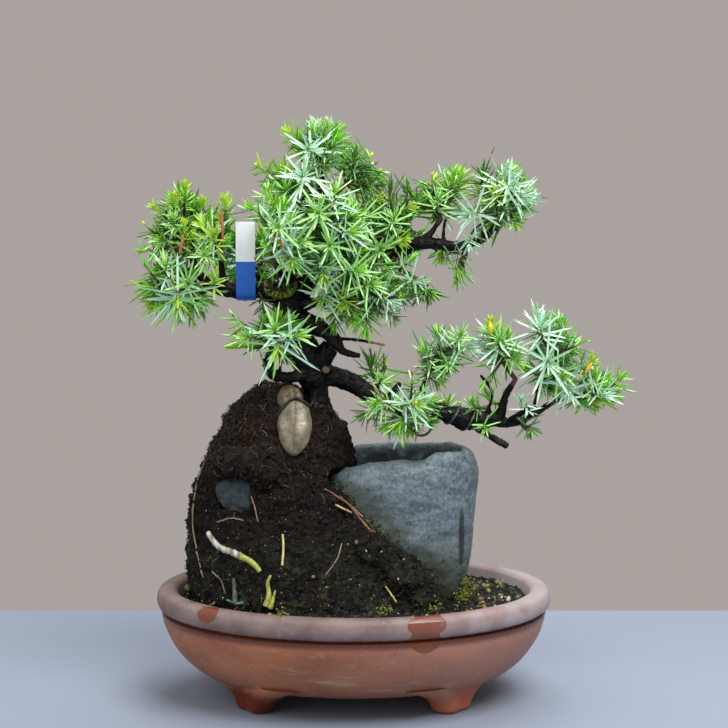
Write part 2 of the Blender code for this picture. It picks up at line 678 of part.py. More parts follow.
def make_spaces():
    """Each mass's space, with its neighbours and the limbs, wire, label and stems near it."""
    found = {name: Space(name) for name in MASSES}
    wire = training_wire_path()
    rods = [capsule(*pair) for path in [*paths.values(), wire] for pair in zip(path, path[1:])]
    middle, _ = label_place()
    rods.append(block(
        (LABEL_X - LABEL_WIDTH / 2 - MM, middle.y - LABEL_ROOM, middle.z - LABEL_ROOM),
        (LABEL_X + LABEL_WIDTH / 2 + MM, middle.y + LABEL_ROOM, LABEL_TOP + MM)))
    stems = {name: stem_path(space) for name, space in found.items()}
    for name, space in found.items():
        reach = max(space.half)
        others = [path for other, path in stems.items() if other != name]
        near = [capsule(*pair) for path in others for pair in zip(path, path[1:])]
        space.solids = [distance for distance in rods + near if distance(space.centre) < reach * 1.1]
        space.others = [
            other for other in found.values()
            if other is not space and (other.centre - space.centre).length < reach + max(other.half)]
    return found


def stem_path(space):
    """A mass's stem, from its limb through a short neck to past the middle of its space."""
    limb, share, _, _, _ = MASSES[space.name]
    start, heading = stem_start(limb, share, space)
    fork = start + heading * STEM_NECK
    crown = fork.lerp(space.centre, STEM_REACH)
    return [(start, STEM_RADIUS), (fork, STEM_RADIUS), (crown, TWIG_RADIUS)]


def cone(name, start, end, first, last, collection):
    """A three-sided tapering twig."""
    run = end - start
    bm = bmesh.new()
    place = Matrix.Translation((start + end) / 2) @ run.to_track_quat("Z", "Y").to_matrix().to_4x4()
    bmesh.ops.create_cone(
        bm, cap_ends=True, segments=3, radius1=first, radius2=last, depth=run.length, matrix=place)
    return mesh_object(name, bm, collection)


def shoot(name, root, base, heading, space, rng, collection):
    """A twig from its root to its base, then a slim core whose faces draw out into needles.

    The twig and its core are one four-sided loft. A face stays flat where its needle has no room.
    """
    way = (base - root).normalized()
    tip = base + heading * CORE_LENGTH
    turn = rng.uniform(0, 2 * math.pi)
    rows = [(root, way, TWIG_RADIUS, turn)]
    for share, radius in CORE_ROWS:
        turn += CORE_TWIST
        rows.append((base + heading * CORE_LENGTH * share, heading, radius, turn))
    bm = bmesh.new()
    rings = []
    for middle, facing, radius, angle in rows:
        place = Matrix.Translation(middle) @ facing.to_track_quat("Z", "Y").to_matrix().to_4x4()
        corners = [(angle + math.pi / 2 * k) for k in range(4)]
        rings.append([
            bm.verts.new(place @ Vector((radius * math.cos(c), radius * math.sin(c), 0))) for c in corners])
    bm.faces.new(rings[0])
    point = bm.verts.new(tip)
    for low, high in zip(rings, rings[1:]):
        for k in range(4):
            bm.faces.new((low[k], low[(k + 1) % 4], high[(k + 1) % 4], high[k]))
    for k in range(4):
        bm.faces.new((rings[-1][k], rings[-1][(k + 1) % 4], point))
    bmesh.ops.recalc_face_normals(bm, faces=bm.faces)
    if bm.calc_volume(signed=True) < 0:
        bmesh.ops.reverse_faces(bm, faces=bm.faces)
    bm.normal_update()
    grown = [(base, tip, CORE_RADIUS, 0.4 * CORE_RADIUS), (root, base, TWIG_RADIUS, TWIG_RADIUS)]
    for face in list(bm.faces):
        middle = face.calc_center_median()
        share = (middle - base).dot(heading) / CORE_LENGTH
        if share < 0.1 or root_side(face, rings[0]):
            continue
        out = (face.normal + heading * (NEEDLE_LEAN + NEEDLE_SWEEP * share ** 3)).normalized()
        end = middle + out * NEEDLE_LENGTH * rng.uniform(0.82, 1.0)
        inside = all(space.keeps(middle.lerp(end, t / 6), NEEDLE_RADIUS * (1.1 - t / 6)) for t in range(1, 7))
        if inside and space.free(middle, end, NEEDLE_RADIUS, 0):
            made = bmesh.ops.poke(bm, faces=[face])["verts"][0]
            made.co = end
            grown.append((middle, end, NEEDLE_RADIUS, 0))
    space.taken += grown
    return mesh_object(name, bm, collection, smooth_below=math.radians(30))


def root_side(face, root_ring):
    return any(vertex in root_ring for vertex in face.verts)


def stem_start(limb, share, space):
    """Where a mass's stem begins, a gap clear of its limb, and the way it sets off."""
    place, heading, radius = along(limb, share)
    if share >= 1:
        return place + heading * GAP, heading
    out = space.centre - place
    out = (out - heading * out.dot(heading)).normalized()
    return place + out * (radius + 1.6 * GAP), out


def keep_largest(item):
    """Drop the loose scraps and the sealed pockets that a union can leave beside the main body."""
    bm = bmesh.new()
    bm.from_mesh(item.data)
    waiting = set(bm.faces)
    islands = []
    while waiting:
        island = []
        border = [waiting.pop()]
        while border:
            face = border.pop()
            island.append(face)
            for other in (other for edge in face.edges for other in edge.link_faces):
                if other in waiting:
                    waiting.remove(other)
                    border.append(other)
        islands.append(island)
    islands.sort(key=len)
    bmesh.ops.delete(bm, geom=[face for island in islands[:-1] for face in island], context="FACES")
    bm.to_mesh(item.data)
    bm.free()
    return item


def make_mass(name, seed):
    """One mass of foliage: a stem, twigs that leave it in a spiral and a shoot on each, fused."""
    shoots = MASSES[name][-1]
    space = spaces[name]
    rng = random.Random(seed)
    loose = make_collection(name + "_pieces", hidden=True)
    start, fork, crown = (place for place, _ in stem_path(space))
    heading = (fork - start).normalized()
    stem = cone(name, start, fork + heading * MM, STEM_RADIUS, STEM_RADIUS * 0.95, bonsai)
    cone("stem", fork - heading * 0.8 * MM, crown, STEM_RADIUS, TWIG_RADIUS, loose)
    axis = (crown - fork).normalized()
    side = axis.orthogonal().normalized()
    for k in range(shoots):
        rise = (k + 0.5) / shoots
        root = fork.lerp(crown, 0.12 + 0.83 * rise)
        for turned in range(SHOOT_TRIES):
            around = GOLDEN_ANGLE * k + rng.uniform(-0.3, 0.3) + turned * 2 * math.pi / SHOOT_TRIES
            tilt = math.radians(-12 + 88 * rise ** 1.4 + rng.uniform(-8, 8))
            out = Matrix.Rotation(around, 3, axis) @ side
            out = (out * math.cos(tilt) + axis * math.sin(tilt)).normalized()
            length = space.reach(root, out) - NEEDLE_LENGTH * NEEDLE_INSET
            if length < SHORTEST_SHOOT:
                continue
            base = root + out * max(length - CORE_LENGTH, STEM_RADIUS + 0.8 * MM)
            aim = (out + Vector((0, 0, UPTURN))).normalized()
            if shoot_fits(space, root, base, base + aim * CORE_LENGTH):
                shoot(f"shoot_{k}", root, base, aim, space, rng, loose)
                break
    fuse = stem.modifiers.new("fuse", "BOOLEAN")
    fuse.operation = "UNION"
    fuse.operand_type = "COLLECTION"
    fuse.collection = loose
    fuse.solver = FUSE_SOLVER
    keep_largest(bake(stem))
    for piece in list(loose.objects):
        bpy.data.objects.remove(piece)
    bpy.data.collections.remove(loose)
    return finish(stem, "needles")


def shoot_fits(space, root, base, tip):
    """Whether a twig and its core keep to their space, clear of what has grown there."""
    if not all(space.keeps(root.lerp(base, t), TWIG_RADIUS) for t in (0.5, 0.75, 1.0)):
        return False
    if not space.keeps(tip, CORE_RADIUS):
        return False
    clear_twig = space.free(root.lerp(base, 0.6), base, TWIG_RADIUS, TWIG_RADIUS)
    return clear_twig and space.free(base, tip, CORE_RADIUS, 0.4 * CORE_RADIUS)


def centre_on_origin():
    """Move every piece together until the bounding box is centred on Z and stands on it."""
    frame = bpy.data.objects.new("bonsai_frame", None)
    bonsai.objects.link(frame)
    for item in list(bonsai.objects) + list(cutters.objects):
        if item is not frame:
            item.parent = frame
    bpy.context.view_layer.update()
    graph = bpy.context.evaluated_depsgraph_get()
    corners = []
    for item in bonsai.objects:
        if item.type == "MESH":
            mesh = item.evaluated_get(graph).to_mesh()
            corners += [vertex.co.copy() for vertex in mesh.vertices]
    low = Vector([min(corner[axis] for corner in corners) for axis in range(3)])
    high = Vector([max(corner[axis] for corner in corners) for axis in range(3)])
    frame.location = (-(low.x + high.x) / 2, -(low.y + high.y) / 2, -low.z)
    bpy.context.view_layer.update()


clear_scene()
materials = make_materials()
bonsai = make_collection("bonsai")
cutters = make_collection("cutters", hidden=True)
paths = {name: smooth_path(places) for name, (_, places) in LIMBS.items()}

_, pot_hollow = make_pot()
make_soil(pot_hollow)
finish(hollowed_stone("hollowed_stone", 0, bonsai), "stone")
finish(ellipsoid("embedded_stone", EMBEDDED_CENTRE, EMBEDDED_HALF, bonsai), "stone")
finish(almond("tied_pebble", 0, bonsai), "pebble")
make_mound()
make_trunk()
for limb_name, (parent_name, _) in LIMBS.items():
    if parent_name:
        make_limb(limb_name, parent_name)
finish(tube("training_wire", training_wire_path(), bonsai, resolution=0), "wire")
finish(tube("tie_wire", tie_wire_path(), bonsai, resolution=0), "wire")
make_label()
spaces = make_spaces()
for number, mass_name in enumerate(MASSES):
    make_mass(mass_name, SEED + number)
centre_on_origin()
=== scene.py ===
"""Looks of a needle juniper bonsai over a peat mound and a hollowed stone, in an oval clay pot.

Lengths are in millimetres about the middle of the pot, as the solids are laid out. new_piece()
turns them into metres and moves each piece to where the frame has the pot.
"""

import math

import bmesh
import bpy
import numpy as np
from mathutils import Matrix, Vector, noise
from mathutils.bvhtree import BVHTree
from mathutils.kdtree import KDTree


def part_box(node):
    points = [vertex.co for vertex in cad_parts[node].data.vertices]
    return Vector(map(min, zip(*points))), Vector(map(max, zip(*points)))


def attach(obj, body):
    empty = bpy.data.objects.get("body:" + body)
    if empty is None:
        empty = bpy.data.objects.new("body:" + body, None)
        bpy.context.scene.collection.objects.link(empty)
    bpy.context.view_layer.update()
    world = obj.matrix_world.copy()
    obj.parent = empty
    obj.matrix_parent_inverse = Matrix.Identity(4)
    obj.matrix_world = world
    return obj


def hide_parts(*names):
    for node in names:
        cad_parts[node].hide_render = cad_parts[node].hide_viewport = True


MM = 0.001
UP = np.array([0.0, 0.0, 1.0])
GOLDEN_ANGLE = math.pi * (3 - math.sqrt(5))
SEED = 67

# The pot: an oval bowl under a thick rounded lip, on four feet
POT_LENGTH = 180
POT_DEPTH = 143
POT_HEIGHT = 50
POT_SEGMENTS = 168
LIP_HEIGHT = 9
LIP_WIDTH = 9.5
FLOOR_BELOW = 8.5
FLOOR_ABOVE = 13.5
BOWL_INSET = 32
FOOT_ANGLE = math.radians(38)
FOOT_INSET = 35
FOOT_SECTIONS = (
    (0, 8.4, 5.6), (1.2, 9.6, 6.4), (4.5, 11.8, 6.8), (8, 16.5, 7.6), (11, 23, 8.4), (14, 31, 9))
SOIL_LEVEL = 45
SOIL_INSET = 11.3
GRAIN_INSET = 12.5

# The stones, the pebble and what holds it
STONE_CENTRE = (21.5, -2)
STONE_POWER = 2.5  # of its outline seen from above: 2 is an ellipse, more is squarer
STONE_RIPPLE = 0.018
STONE_RIM_HALF = (34, 18)
STONE_RIM_RISE = (3.5, 1.9, -2.6)
RIM_RISE_FROM = 72  # the height where the stone begins to rise to its uneven rim
RIM_RISE_OVER = 38
BACK_RIM_RISE = 1.3
# How far the front of the rim stands above the even one, at each X
FRONT_RIM = (
    (-12, -0.6), (-2, 0.3), (6, 2.8), (13, 1.8), (20, 0.6), (28, -1.0), (31.5, -1.2), (37, 1.7),
    (43, 1.2), (50, 0))
STONE_OUTSIDE = (
    (45.3, 28, 18), (58, 31, 20), (76, 33.5, 21.5), (95, 35, 22),
    (103, 34.6, 21.4), (108.5, 32.5, 19.4), (110.6, 29.5, 16.8), (109.8, 27, 14.2))
STONE_BASIN = ((104.5, 24.5, 12), (100, 21, 10), (98.8, 14, 6.5), (98.6, 5, 2.5))
EMBEDDED_CENTRE = (-48, -22.5, 95)
EMBEDDED_HALF = (13, 8.5, 11)
PEBBLE_CENTRE = (-26, -23.4, 126)
PEBBLE_LENGTH = 27.5
PEBBLE_WIDTH = 15.5
PEBBLE_THICKNESS = 9
PEBBLE_LEAN = math.radians(-24)
PEBBLE_LOBE = ((-28.6, -15.2, 137.2), (5.8, 4.4, 6.2))  # the paler end above the wire
TRUNK_SEAT = (-17, -2, 129)

# What is added to the mound and taken from it: places along a rod of peat and its radius there
PEAT_AGAINST_STONE = [
    (-8, -25, 82, 6), (4, -26, 71, 9), (19, -27, 60, 10.5), (30, -26, 45, 11), (37, -23, 39, 8)]
PEAT_BROW = [(-62, -18, 107, 4), (-55, -26, 110, 5.5), (-45, -31, 110, 5), (-35, -33, 104, 4)]
HOLLOW_AT_STONE = [
    (-17, -11, 100.5, 4), (-11, -15, 99.5, 5.5), (-2, -22, 100.5, 7.5), (8, -28, 94, 7)]
HOLLOW_AT_BEDDED = [(-51, -34, 102, 6.5), (-50, -36, 92, 8), (-50, -38, 86, 7)]
HOLLOW_AT_SHOULDER = [(-4.5, -32, 133.5, 8.5), (-4.5, 22, 133.5, 8.5)]
HOLLOW_BEYOND = [(3.5, -32, 126, 7), (3.5, 22, 126, 7)]
HOLLOWS = (HOLLOW_AT_STONE, HOLLOW_AT_BEDDED, HOLLOW_AT_SHOULDER, HOLLOW_BEYOND)
COLLAR = (12.5, 12.5, 4.5)  # half sizes of the peat round the trunk's foot

# What lies on the mound and the soil: how many places are tried for each kind
MOUND_PLACES = 20000
SOIL_PLACES = 12000
FRINGE_PLACES = 42000
FIBRE_PLACES = 9000
CUSHION_GRAINS = 520
CLUMP_GRAINS = 90
MOSS_CUSHION = ((-32.6, -10, 187.5), (8.2, 4.5, 6.2))
MOSS_CLUMPS = (
    (50, -16, 50), (52, -13, 54), (49, -19, 48), (54, -10, 50), (-30, -60, 50), (14, -52, 50),
    (36, -40, 48))
# Grit that is placed one by one: X, Y, Z and its material
BIG_GRIT = (
    (-37, -58, 53, 0), (34, -60, 50, 2), (27, -62, 50, 1), (57, -20, 48, 0), (63, -26, 48, 2),
    (46, -44, 49, 1), (70, -12, 48, 2))

LABEL_X = -48
LABEL_WIDTH = 8.6
LABEL_THICKNESS = 0.6
LABEL_TOP = 216
LABEL_LOOSENESS = 0.9
LABEL_WHITE_ABOVE = 198  # the strip is white above this height and blue below it
LABEL_CLEAR_ABOVE = 174  # no needle stands before the strip above this height
LABEL_ROD_RADIUS = 5  # of the room at the strip that needles and shoots keep out of
LABEL_ROD_FOOT = 176

TRAINING_WIRE_RADIUS = 0.6
TRAINING_WIRE_SHARES = (0.50, 0.70)
TRAINING_HOOK_CENTRE = (30.5, -8.6, 124.5)
TRAINING_HOOK_RADIUS = 4.6
WIRE_TURNS = 3
TIE_WIRE_RADIUS = 0.6
TIE_WIRE_KNOT = 0.11
WIRE_CLEARANCE = 0.3

# Each limb as the places it passes through: X, Y, Z and its radius there
LIMBS = {
    "trunk": [
        (-17, -2, 127, 7.6), (-17, -2.5, 139, 5.9), (-19.5, -4, 151, 7.8), (-26.5, -3.5, 164, 7.4),
        (-28.5, -1, 178, 7.9), (-22, 2, 193, 6.2), (-14, 0.5, 212, 3.9), (-15, -3, 238, 1.6)],
    "bough_right_low": [
        (-17, -2, 147.5, 4.8), (-4, -2, 144.5, 4.3), (12, -4, 136, 3.6), (24, -6, 133, 3.2),
        (36, -6, 131.5, 2.8), (54, -3, 126, 4.7), (63, 0, 126.5, 3.4), (74, 0, 124.5, 1.9),
        (90, 3, 133, 1.3)],
    "bough_right_high": [
        (-17, 2, 199, 4.2), (0, 4, 197.5, 3.7), (22, 2, 203, 2.9), (31, 1, 206.5, 2.6),
        (47, 0, 205, 2.1), (59, -2, 209, 1.7), (65, -3, 216, 1.3)],
    "bough_left": [
        (-28, -2, 182, 4.8), (-42, -6, 185.5, 4.0), (-58, -8, 186, 3.3), (-68, -6, 191, 2.4),
        (-73, -4, 201, 1.5)],
    "bough_loop": [
        (-19, -5, 149, 3.2), (-28, -12, 146.5, 2.6), (-36, -17, 148.5, 2.4), (-37.5, -19, 154, 2.1),
        (-36.5, -20, 159, 1.8)],
    "bough_front": [(-24, 1, 189, 3.2), (-29, -13, 191, 2.3), (-34, -21, 197, 1.5)],
    "bough_centre": [(-19, 1, 196, 2.8), (-15, -9, 196, 2.0), (-12, -15, 198, 1.4)],
    "bough_low": [(-27, -1, 178, 3.0), (-17, -8, 180, 2.2), (-10, -11, 182, 1.5)],
    "bough_back": [(-24, 1, 189, 3.6), (-21, 17, 194, 2.5), (-17, 28, 203, 1.5)],
    "bough_back_left": [(-28, 0, 180, 3.4), (-38, 15, 184, 2.4), (-45, 24, 190, 1.5)],
    "bough_back_right": [(2, 4, 198, 2.6), (7, 16, 201, 1.9), (13, 25, 204, 1.4)],
    "twig_high": [(30, 1, 206, 1.8), (35, 2.5, 211, 1.5), (38, 3.5, 215, 1.2)],
    "twig_upright": [(-57, -8, 186, 1.7), (-58.5, -10, 193, 1.3), (-59, -11.5, 199, 1.0)],
    "twig_low_inner": [(31, -6, 132, 1.6), (31, -3, 139, 1.2), (32.5, -1, 144, 1.0)],
    "twig_arch": [(60, -2, 127.5, 1.1), (62.5, -6, 139, 0.8), (57, -9, 147.5, 0.7)],
    "twig_low_middle": [(66, 0, 126.5, 2.4), (69, -2, 137, 1.7), (72, -4, 143, 1.1)],
    "twig_low_outer": [(81, 1.5, 127.5, 1.2), (83.5, 4, 135, 0.9), (84, 5, 140, 0.8)],
}
DEAD_LIMBS = {
    "dead_hook": [
        (-28, -3, 174, 5.0), (-17, -8, 169.5, 3.9), (-9, -10, 164, 3.0), (-4.5, -10, 158, 1.7),
        (3, -9, 156, 1.0)],
    "dead_twig": [(-8.5, -9.8, 164, 0.9), (2, -7.5, 163, 0.8), (14, -4, 160.5, 0.6)],
    "dead_stub_low": [(55, -3, 126, 1.7), (61, -7, 120, 1.5), (69, -12, 115.5, 1.4)],
    "dead_stub_short": [(71, 0, 125.5, 1.5), (75.5, -5, 129.5, 1.3), (79, -8, 132, 1.3)],
}
# Bare twigs, spurs and knots that only the looks have
BARE_TWIGS = (
    [(40.9, 0.5, 205.5, 1.1), (40.6, 1, 211, 0.8), (41.4, 1.5, 217, 0.8)],
    [(57, -2, 232, 0.6), (60, -2, 241, 0.45), (63.4, -2, 250.3, 0.2)],
    [(17.5, -4.5, 137, 2.4), (20, -5, 142, 1.5), (21.5, -5.5, 143.2, 1.0)],
    [(-12.4, -6, 149.6, 2.4), (-12.4, -10, 149.8, 2.1), (-12.4, -11.6, 149.9, 1.7)],
    [(-31, -9, 171, 1.6), (-37, -10, 170, 0.9)],
    [(3, -9, 183.5, 0.8), (8, -12, 184.8, 0.7), (16, -13, 183.5, 0.5)])
# Dry spots on the wood: the middle, the radius and the colour
DRY_WOOD = (
    ((11, -5.2, 161.2), 5, (0.34, 0.19, 0.08)),
    ((-12.4, -12.4, 149.9), 2.1, (0.12, 0.095, 0.052)))
STUBS_PER_LIMB = 5
CUT_STUB = [(-18, -5, 150, 4.8), (-13.5, -8, 156, 4.4), (-10.5, -9.5, 160, 4.2)]
# The roots' bearings in degrees and how far they reach
ROOTS = ((195, 10.5), (262, 10.0), (338, 8.5), (80, 10.0))
ROOT_PROFILE = ((0.15, 8, 3.6), (0.62, 2.4, 2.6), (1, 0.2, 1.3))

# Each mass of needles, by the name of its node less "needles_": its limb, how far along it the
# stem leaves, the middle and half sizes of its space, and its number of main shoots
MASSES = {
    "apex": ("trunk", 1.0, (-15, -3, 250), (19, 18, 18), 7),
    "apex_right": ("trunk", 0.9, (3, 4, 239), (17, 16, 18), 6),
    "upper_left": ("trunk", 0.82, (-30, -7, 229), (20, 18, 17), 7),
    "front_left": ("bough_front", 1.0, (-35, -28, 208), (22, 18, 24), 8),
    "centre": ("bough_centre", 1.0, (-10, -24, 205), (24, 19, 25), 10),
    "centre_right": ("bough_right_high", 0.3, (15, -3, 213), (19, 19, 21), 7),
    "low_centre": ("bough_low", 1.0, (3, -14, 182), (25, 19, 17), 7),
    "right_small": ("bough_right_high", 0.4, (31, -7, 189), (16, 14, 15), 4),
    "left_top": ("bough_left", 1.0, (-76, -1, 213), (22, 22, 23), 8),
    "left_low": ("bough_left", 0.72, (-82, -9, 183), (23, 20, 20), 7),
    "left_near": ("twig_upright", 1.0, (-59, -14, 208), (14, 16, 19), 4),
    "high_inner": ("twig_high", 1.0, (38, 3, 227), (22, 19, 18), 7),
    "high_outer": ("bough_right_high", 1.0, (68, -3, 224), (21, 20, 23), 6),
    "high_hanging": ("bough_right_high", 0.78, (47, 0, 192), (13, 13, 14), 3),
    "loop": ("bough_loop", 1.0, (-36, -23, 163), (25, 19, 17), 7),
    "low_front": ("bough_right_low", 0.36, (23, -18, 129), (22, 17, 15), 7),
    "low_behind": ("bough_right_low", 0.24, (14, 10, 148), (16, 15, 13), 4),
    "low_inner": ("twig_low_inner", 1.0, (37, 1, 154), (20, 18, 18), 7),
    "low_middle": ("twig_low_middle", 1.0, (64, -6, 157), (16, 16, 18), 6),
    "low_outer": ("twig_low_outer", 1.0, (90, 2, 155), (22, 21, 24), 9),
    "low_tip": ("bough_right_low", 1.0, (110, 4, 139), (20, 17, 16), 6),
    "low_under": ("bough_right_low", 0.86, (79, -6, 121), (16, 14, 10), 3),
    "back": ("bough_back", 1.0, (-12, 31, 212), (24, 19, 23), 7),
    "back_left": ("bough_back_left", 1.0, (-51, 28, 199), (22, 19, 20), 6),
    "back_right": ("bough_back_right", 1.0, (21, 29, 208), (20, 18, 19), 6),
}

# The pieces that the needles are joined into, and the leaning of each one's colours: the shares
# of silvery, bright, pale, yellowish and dark sprays
CROWN = {
    "foliage_top": (("apex", "apex_right", "upper_left"), (0.28, 0.35, 0.22, 0.12, 0.03)),
    "foliage_centre": (("front_left", "centre"), (0.35, 0.45, 0.0, 0.1, 0.1)),
    "foliage_inner": (
        ("centre_right", "low_centre", "right_small"), (0.3, 0.4, 0.0, 0.15, 0.15)),
    "foliage_left": (("left_top", "left_low", "left_near"), (0.1, 0.28, 0.0, 0.42, 0.2)),
    "foliage_high": (
        ("high_inner", "high_outer", "high_hanging"), (0.25, 0.13, 0.45, 0.12, 0.05)),
    "foliage_loop": (("loop",), (0.4, 0.4, 0.05, 0.1, 0.05)),
    "foliage_low_near": (
        ("low_front", "low_behind", "low_inner", "low_under"), (0.3, 0.35, 0.1, 0.15, 0.1)),
    "foliage_low_far": (("low_middle", "low_outer", "low_tip"), (0.3, 0.15, 0.35, 0.12, 0.08)),
    "foliage_back": (("back", "back_left", "back_right"), (0.25, 0.4, 0.05, 0.15, 0.15)),
}

# The sprays that show on the near side of each mass: where the tip is, the way that it points
# (left, right, up, down, front), its form and its colour
SPRAYS = {
    "apex": (
        (-27, -3, 254, "ul", "young", "yellow"), (-18, -5, 254, "u", "tuft", "silver"),
        (-20, -14, 248, "f", "star", "pale"), (-9, -8, 250, "ur", "tuft", "bright"),
        (-14, -12, 241, "fr", "tuft", "dark")),
    "apex_right": (
        (0, -4, 242, "uf", "tuft", "dark"), (7, -1, 232, "r", "tuft", "dark"),
        (9, -4, 224, "ur", "young", "yellow")),
    "upper_left": (
        (-40, -7, 239, "ul", "young", "yellow"), (-22, -18, 236, "f", "star", "pale"),
        (-38, -16, 226, "u", "young", "bright"), (-30, -11, 230, "uf", "star", "silver")),
    "front_left": (
        (-32, -41, 214, "f", "star", "silver"), (-26, -39, 199, "fd", "star", "silver"),
        (-23, -37, 208, "fr", "star", "silver"), (-41, -35, 220, "ul", "tuft", "bright"),
        (-37, -37, 206, "fl", "star", "bright")),
    "centre": (
        (-8, -34, 229, "uf", "star", "silver"), (-15, -37, 220, "f", "star", "bright"),
        (-10, -37, 206, "f", "star", "bright"), (-1, -34, 212, "fr", "star", "silver"),
        (-13, -34, 193, "fd", "star", "silver"), (2, -35, 195, "fr", "star", "bright")),
    "centre_right": (
        (18, -12, 216, "uf", "tuft", "bright"), (25, -5, 228, "u", "sparse", "dark"),
        (17, -5, 227, "u", "sparse", "dark"), (22, -6, 222, "r", "young", "yellow"),
        (12, -14, 204, "f", "star", "bright"), (19, -12, 208, "r", "young", "yellow"),
        (3, -12, 219, "f", "star", "bright")),
    "low_centre": (
        (-4, -24, 182, "fd", "young", "yellow"), (11, -20, 198, "r", "tuft", "dark"),
        (16, -20, 181, "rd", "star", "pale"), (0, -22, 175, "d", "tuft", "bright"),
        (8, -25, 189, "fr", "star", "bright"), (-14, -22, 182, "fd", "star", "silver"),
        (-8, -19, 174, "d", "tuft", "dark"), (6, -17, 172, "d", "tuft", "bright"),
        (22, -16, 183, "r", "comb", "dark"), (16, -18, 176, "rd", "comb", "dark")),
    "right_small": (
        (28, -14, 190, "fr", "star", "pale"), (23, -10, 197, "ur", "tuft", "bright"),
        (20, -13, 187, "fd", "tuft", "bright")),
    "left_top": (
        (-75, -8, 229, "u", "finger", "yellow"), (-87, -5, 220, "ul", "finger", "yellow"),
        (-80, -12, 224, "u", "finger", "yellow"), (-75, -14, 212, "u", "finger", "yellow"),
        (-86, -10, 208, "fl", "star", "bright"), (-68, -1, 222, "u", "finger", "yellow"),
        (-92, -6, 213, "lu", "finger", "yellow"), (-91, -7, 203, "l", "young", "bright"),
        (-80, -14, 216, "uf", "finger", "bright"), (-70, -12, 206, "u", "finger", "yellow")),
    "left_near": (
        (-56, -19, 223, "u", "finger", "yellow"), (-65, -22, 214, "ul", "star", "silver"),
        (-65, -24, 201, "f", "tuft", "bright"), (-61, -24, 208, "fu", "tuft", "yellow")),
    "left_low": (
        (-78, -21, 180, "fd", "star", "pale"), (-88, -15, 187, "l", "tuft", "bright"),
        (-91, -15, 195, "lu", "young", "bright"), (-73, -19, 189, "f", "star", "bright"),
        (-83, -17, 197, "fu", "star", "silver"), (-61, -19, 189, "fu", "young", "yellow"),
        (-68, -13, 183, "rd", "star", "silver"), (-77, -24, 184, "fd", "long", "silver")),
    "high_inner": (
        (35, -1, 232, "u", "young", "yellow"), (37, -6, 224, "fu", "tuft", "bright"),
        (48, -3, 233, "u", "tuft", "yellow"), (27, -3, 226, "ul", "young", "dark"),
        (45, -5, 234, "u", "tuft", "bright")),
    "high_outer": (
        (70, -14, 232, "fr", "star", "pale"), (58, -7, 234, "u", "tuft", "dark"),
        (75, -9, 227, "r", "star", "pale"), (67, -7, 237, "ur", "star", "pale"),
        (51, -17, 219, "fl", "star", "pale"), (51, -13, 208, "fd", "young", "pale"),
        (63, -11, 220, "r", "tuft", "dark"), (71, -9, 217, "rd", "young", "bright"),
        (63, -13, 227, "fu", "young", "yellow")),
    "high_hanging": (
        (47, -4, 198, "d", "tuft", "bright"), (43, 0, 202, "ld", "young", "silver")),
    "loop": (
        (-46, -31, 166, "lf", "star", "bright"), (-34, -32, 170, "uf", "star", "silver"),
        (-32, -34, 163, "fd", "long", "silver"), (-24, -32, 167, "rf", "star", "silver"),
        (-50, -26, 173, "ul", "young", "bright")),
    "low_front": (
        (12, -28, 137, "fl", "tuft", "bright"), (27, -30, 137, "fr", "star", "silver"),
        (7, -23, 133, "ld", "tuft", "dark"), (21, -25, 128, "d", "star", "silver"),
        (26, -21, 146, "u", "young", "bright")),
    "low_behind": (
        (8, 2, 147, "u", "sparse", "dark"), (12, -1, 143, "fu", "young", "bright")),
    "low_inner": (
        (34, -4, 155, "ul", "tuft", "bright"), (48, -6, 164, "uf", "young", "bright"),
        (51, -8, 160, "rf", "star", "pale"), (43, -8, 152, "f", "tuft", "bright"),
        (39, -1, 162, "u", "tuft", "silver")),
    "low_middle": (
        (65, -14, 164, "uf", "star", "silver"), (62, -11, 168, "u", "finger", "yellow"),
        (61, -12, 147, "ld", "young", "bright"), (71, -14, 155, "rf", "tuft", "bright")),
    "low_outer": (
        (84, -8, 169, "uf", "star", "pale"), (82, 0, 171, "u", "tuft", "pale"),
        (86, -13, 154, "f", "long", "pale"), (94, -8, 148, "rf", "star", "bright"),
        (101, -2, 160, "ur", "tuft", "bright"), (97, -8, 140, "df", "star", "pale"),
        (106, -4, 151, "ur", "young", "yellow")),
    "low_tip": (
        (119, 1, 142, "ru", "tuft", "bright"), (113, -4, 138, "fr", "star", "pale"),
        (110, -1, 143, "u", "tuft", "bright")),
    "low_under": (
        (78, -8, 133, "fu", "young", "pale"), (80, -7, 125, "d", "young", "dark")),
}
# Small sprays that sprout straight from a limb
SPROUTS = (
    (42.7, -7, 134.5, "u", "young", "bright"), (53.5, -7, 134.5, "u", "young", "bright"),
    (59, -9, 124, "fd", "young", "bright"), (76, -4, 135, "uf", "young", "pale"),
    (30, -9, 137, "u", "young", "bright"), (62, 4, 135, "u", "tuft", "bright"),
    (-40, -11, 178, "d", "young", "dark"), (40, 4, 200, "d", "young", "bright"))
# The few buds and woody shoots that stand out: foot, tip, thickness and colour
LARGE_BUDS = (
    ((61, -17, 166.5), (60.5, -18, 172.5), 1.5, 2), ((104.5, -7, 148), (107.5, -7.5, 153), 1.1, 3),
    ((27, -30.5, 137), (27.5, -34, 137.5), 1.0, 3), ((-59, -18, 212), (-58.5, -19, 219), 0.9, 0),
    ((-34, -37, 210), (-33, -40, 213), 1.0, 0),
    ((-56.7, -28, 207), (-57.2, -27, 223), 0.65, 4), ((-76, -25, 202), (-73.8, -24, 211.5), 0.8, 4),
    ((-30, -41, 203.5), (-32, -42, 212.5), 0.6, 4), ((-77, -30, 178), (-75.5, -31, 180.5), 0.9, 4))
AIMS = {"l": (-1, 0, 0), "r": (1, 0, 0), "u": (0, 0, 1), "d": (0, 0, -1), "f": (0, -1, 0)}

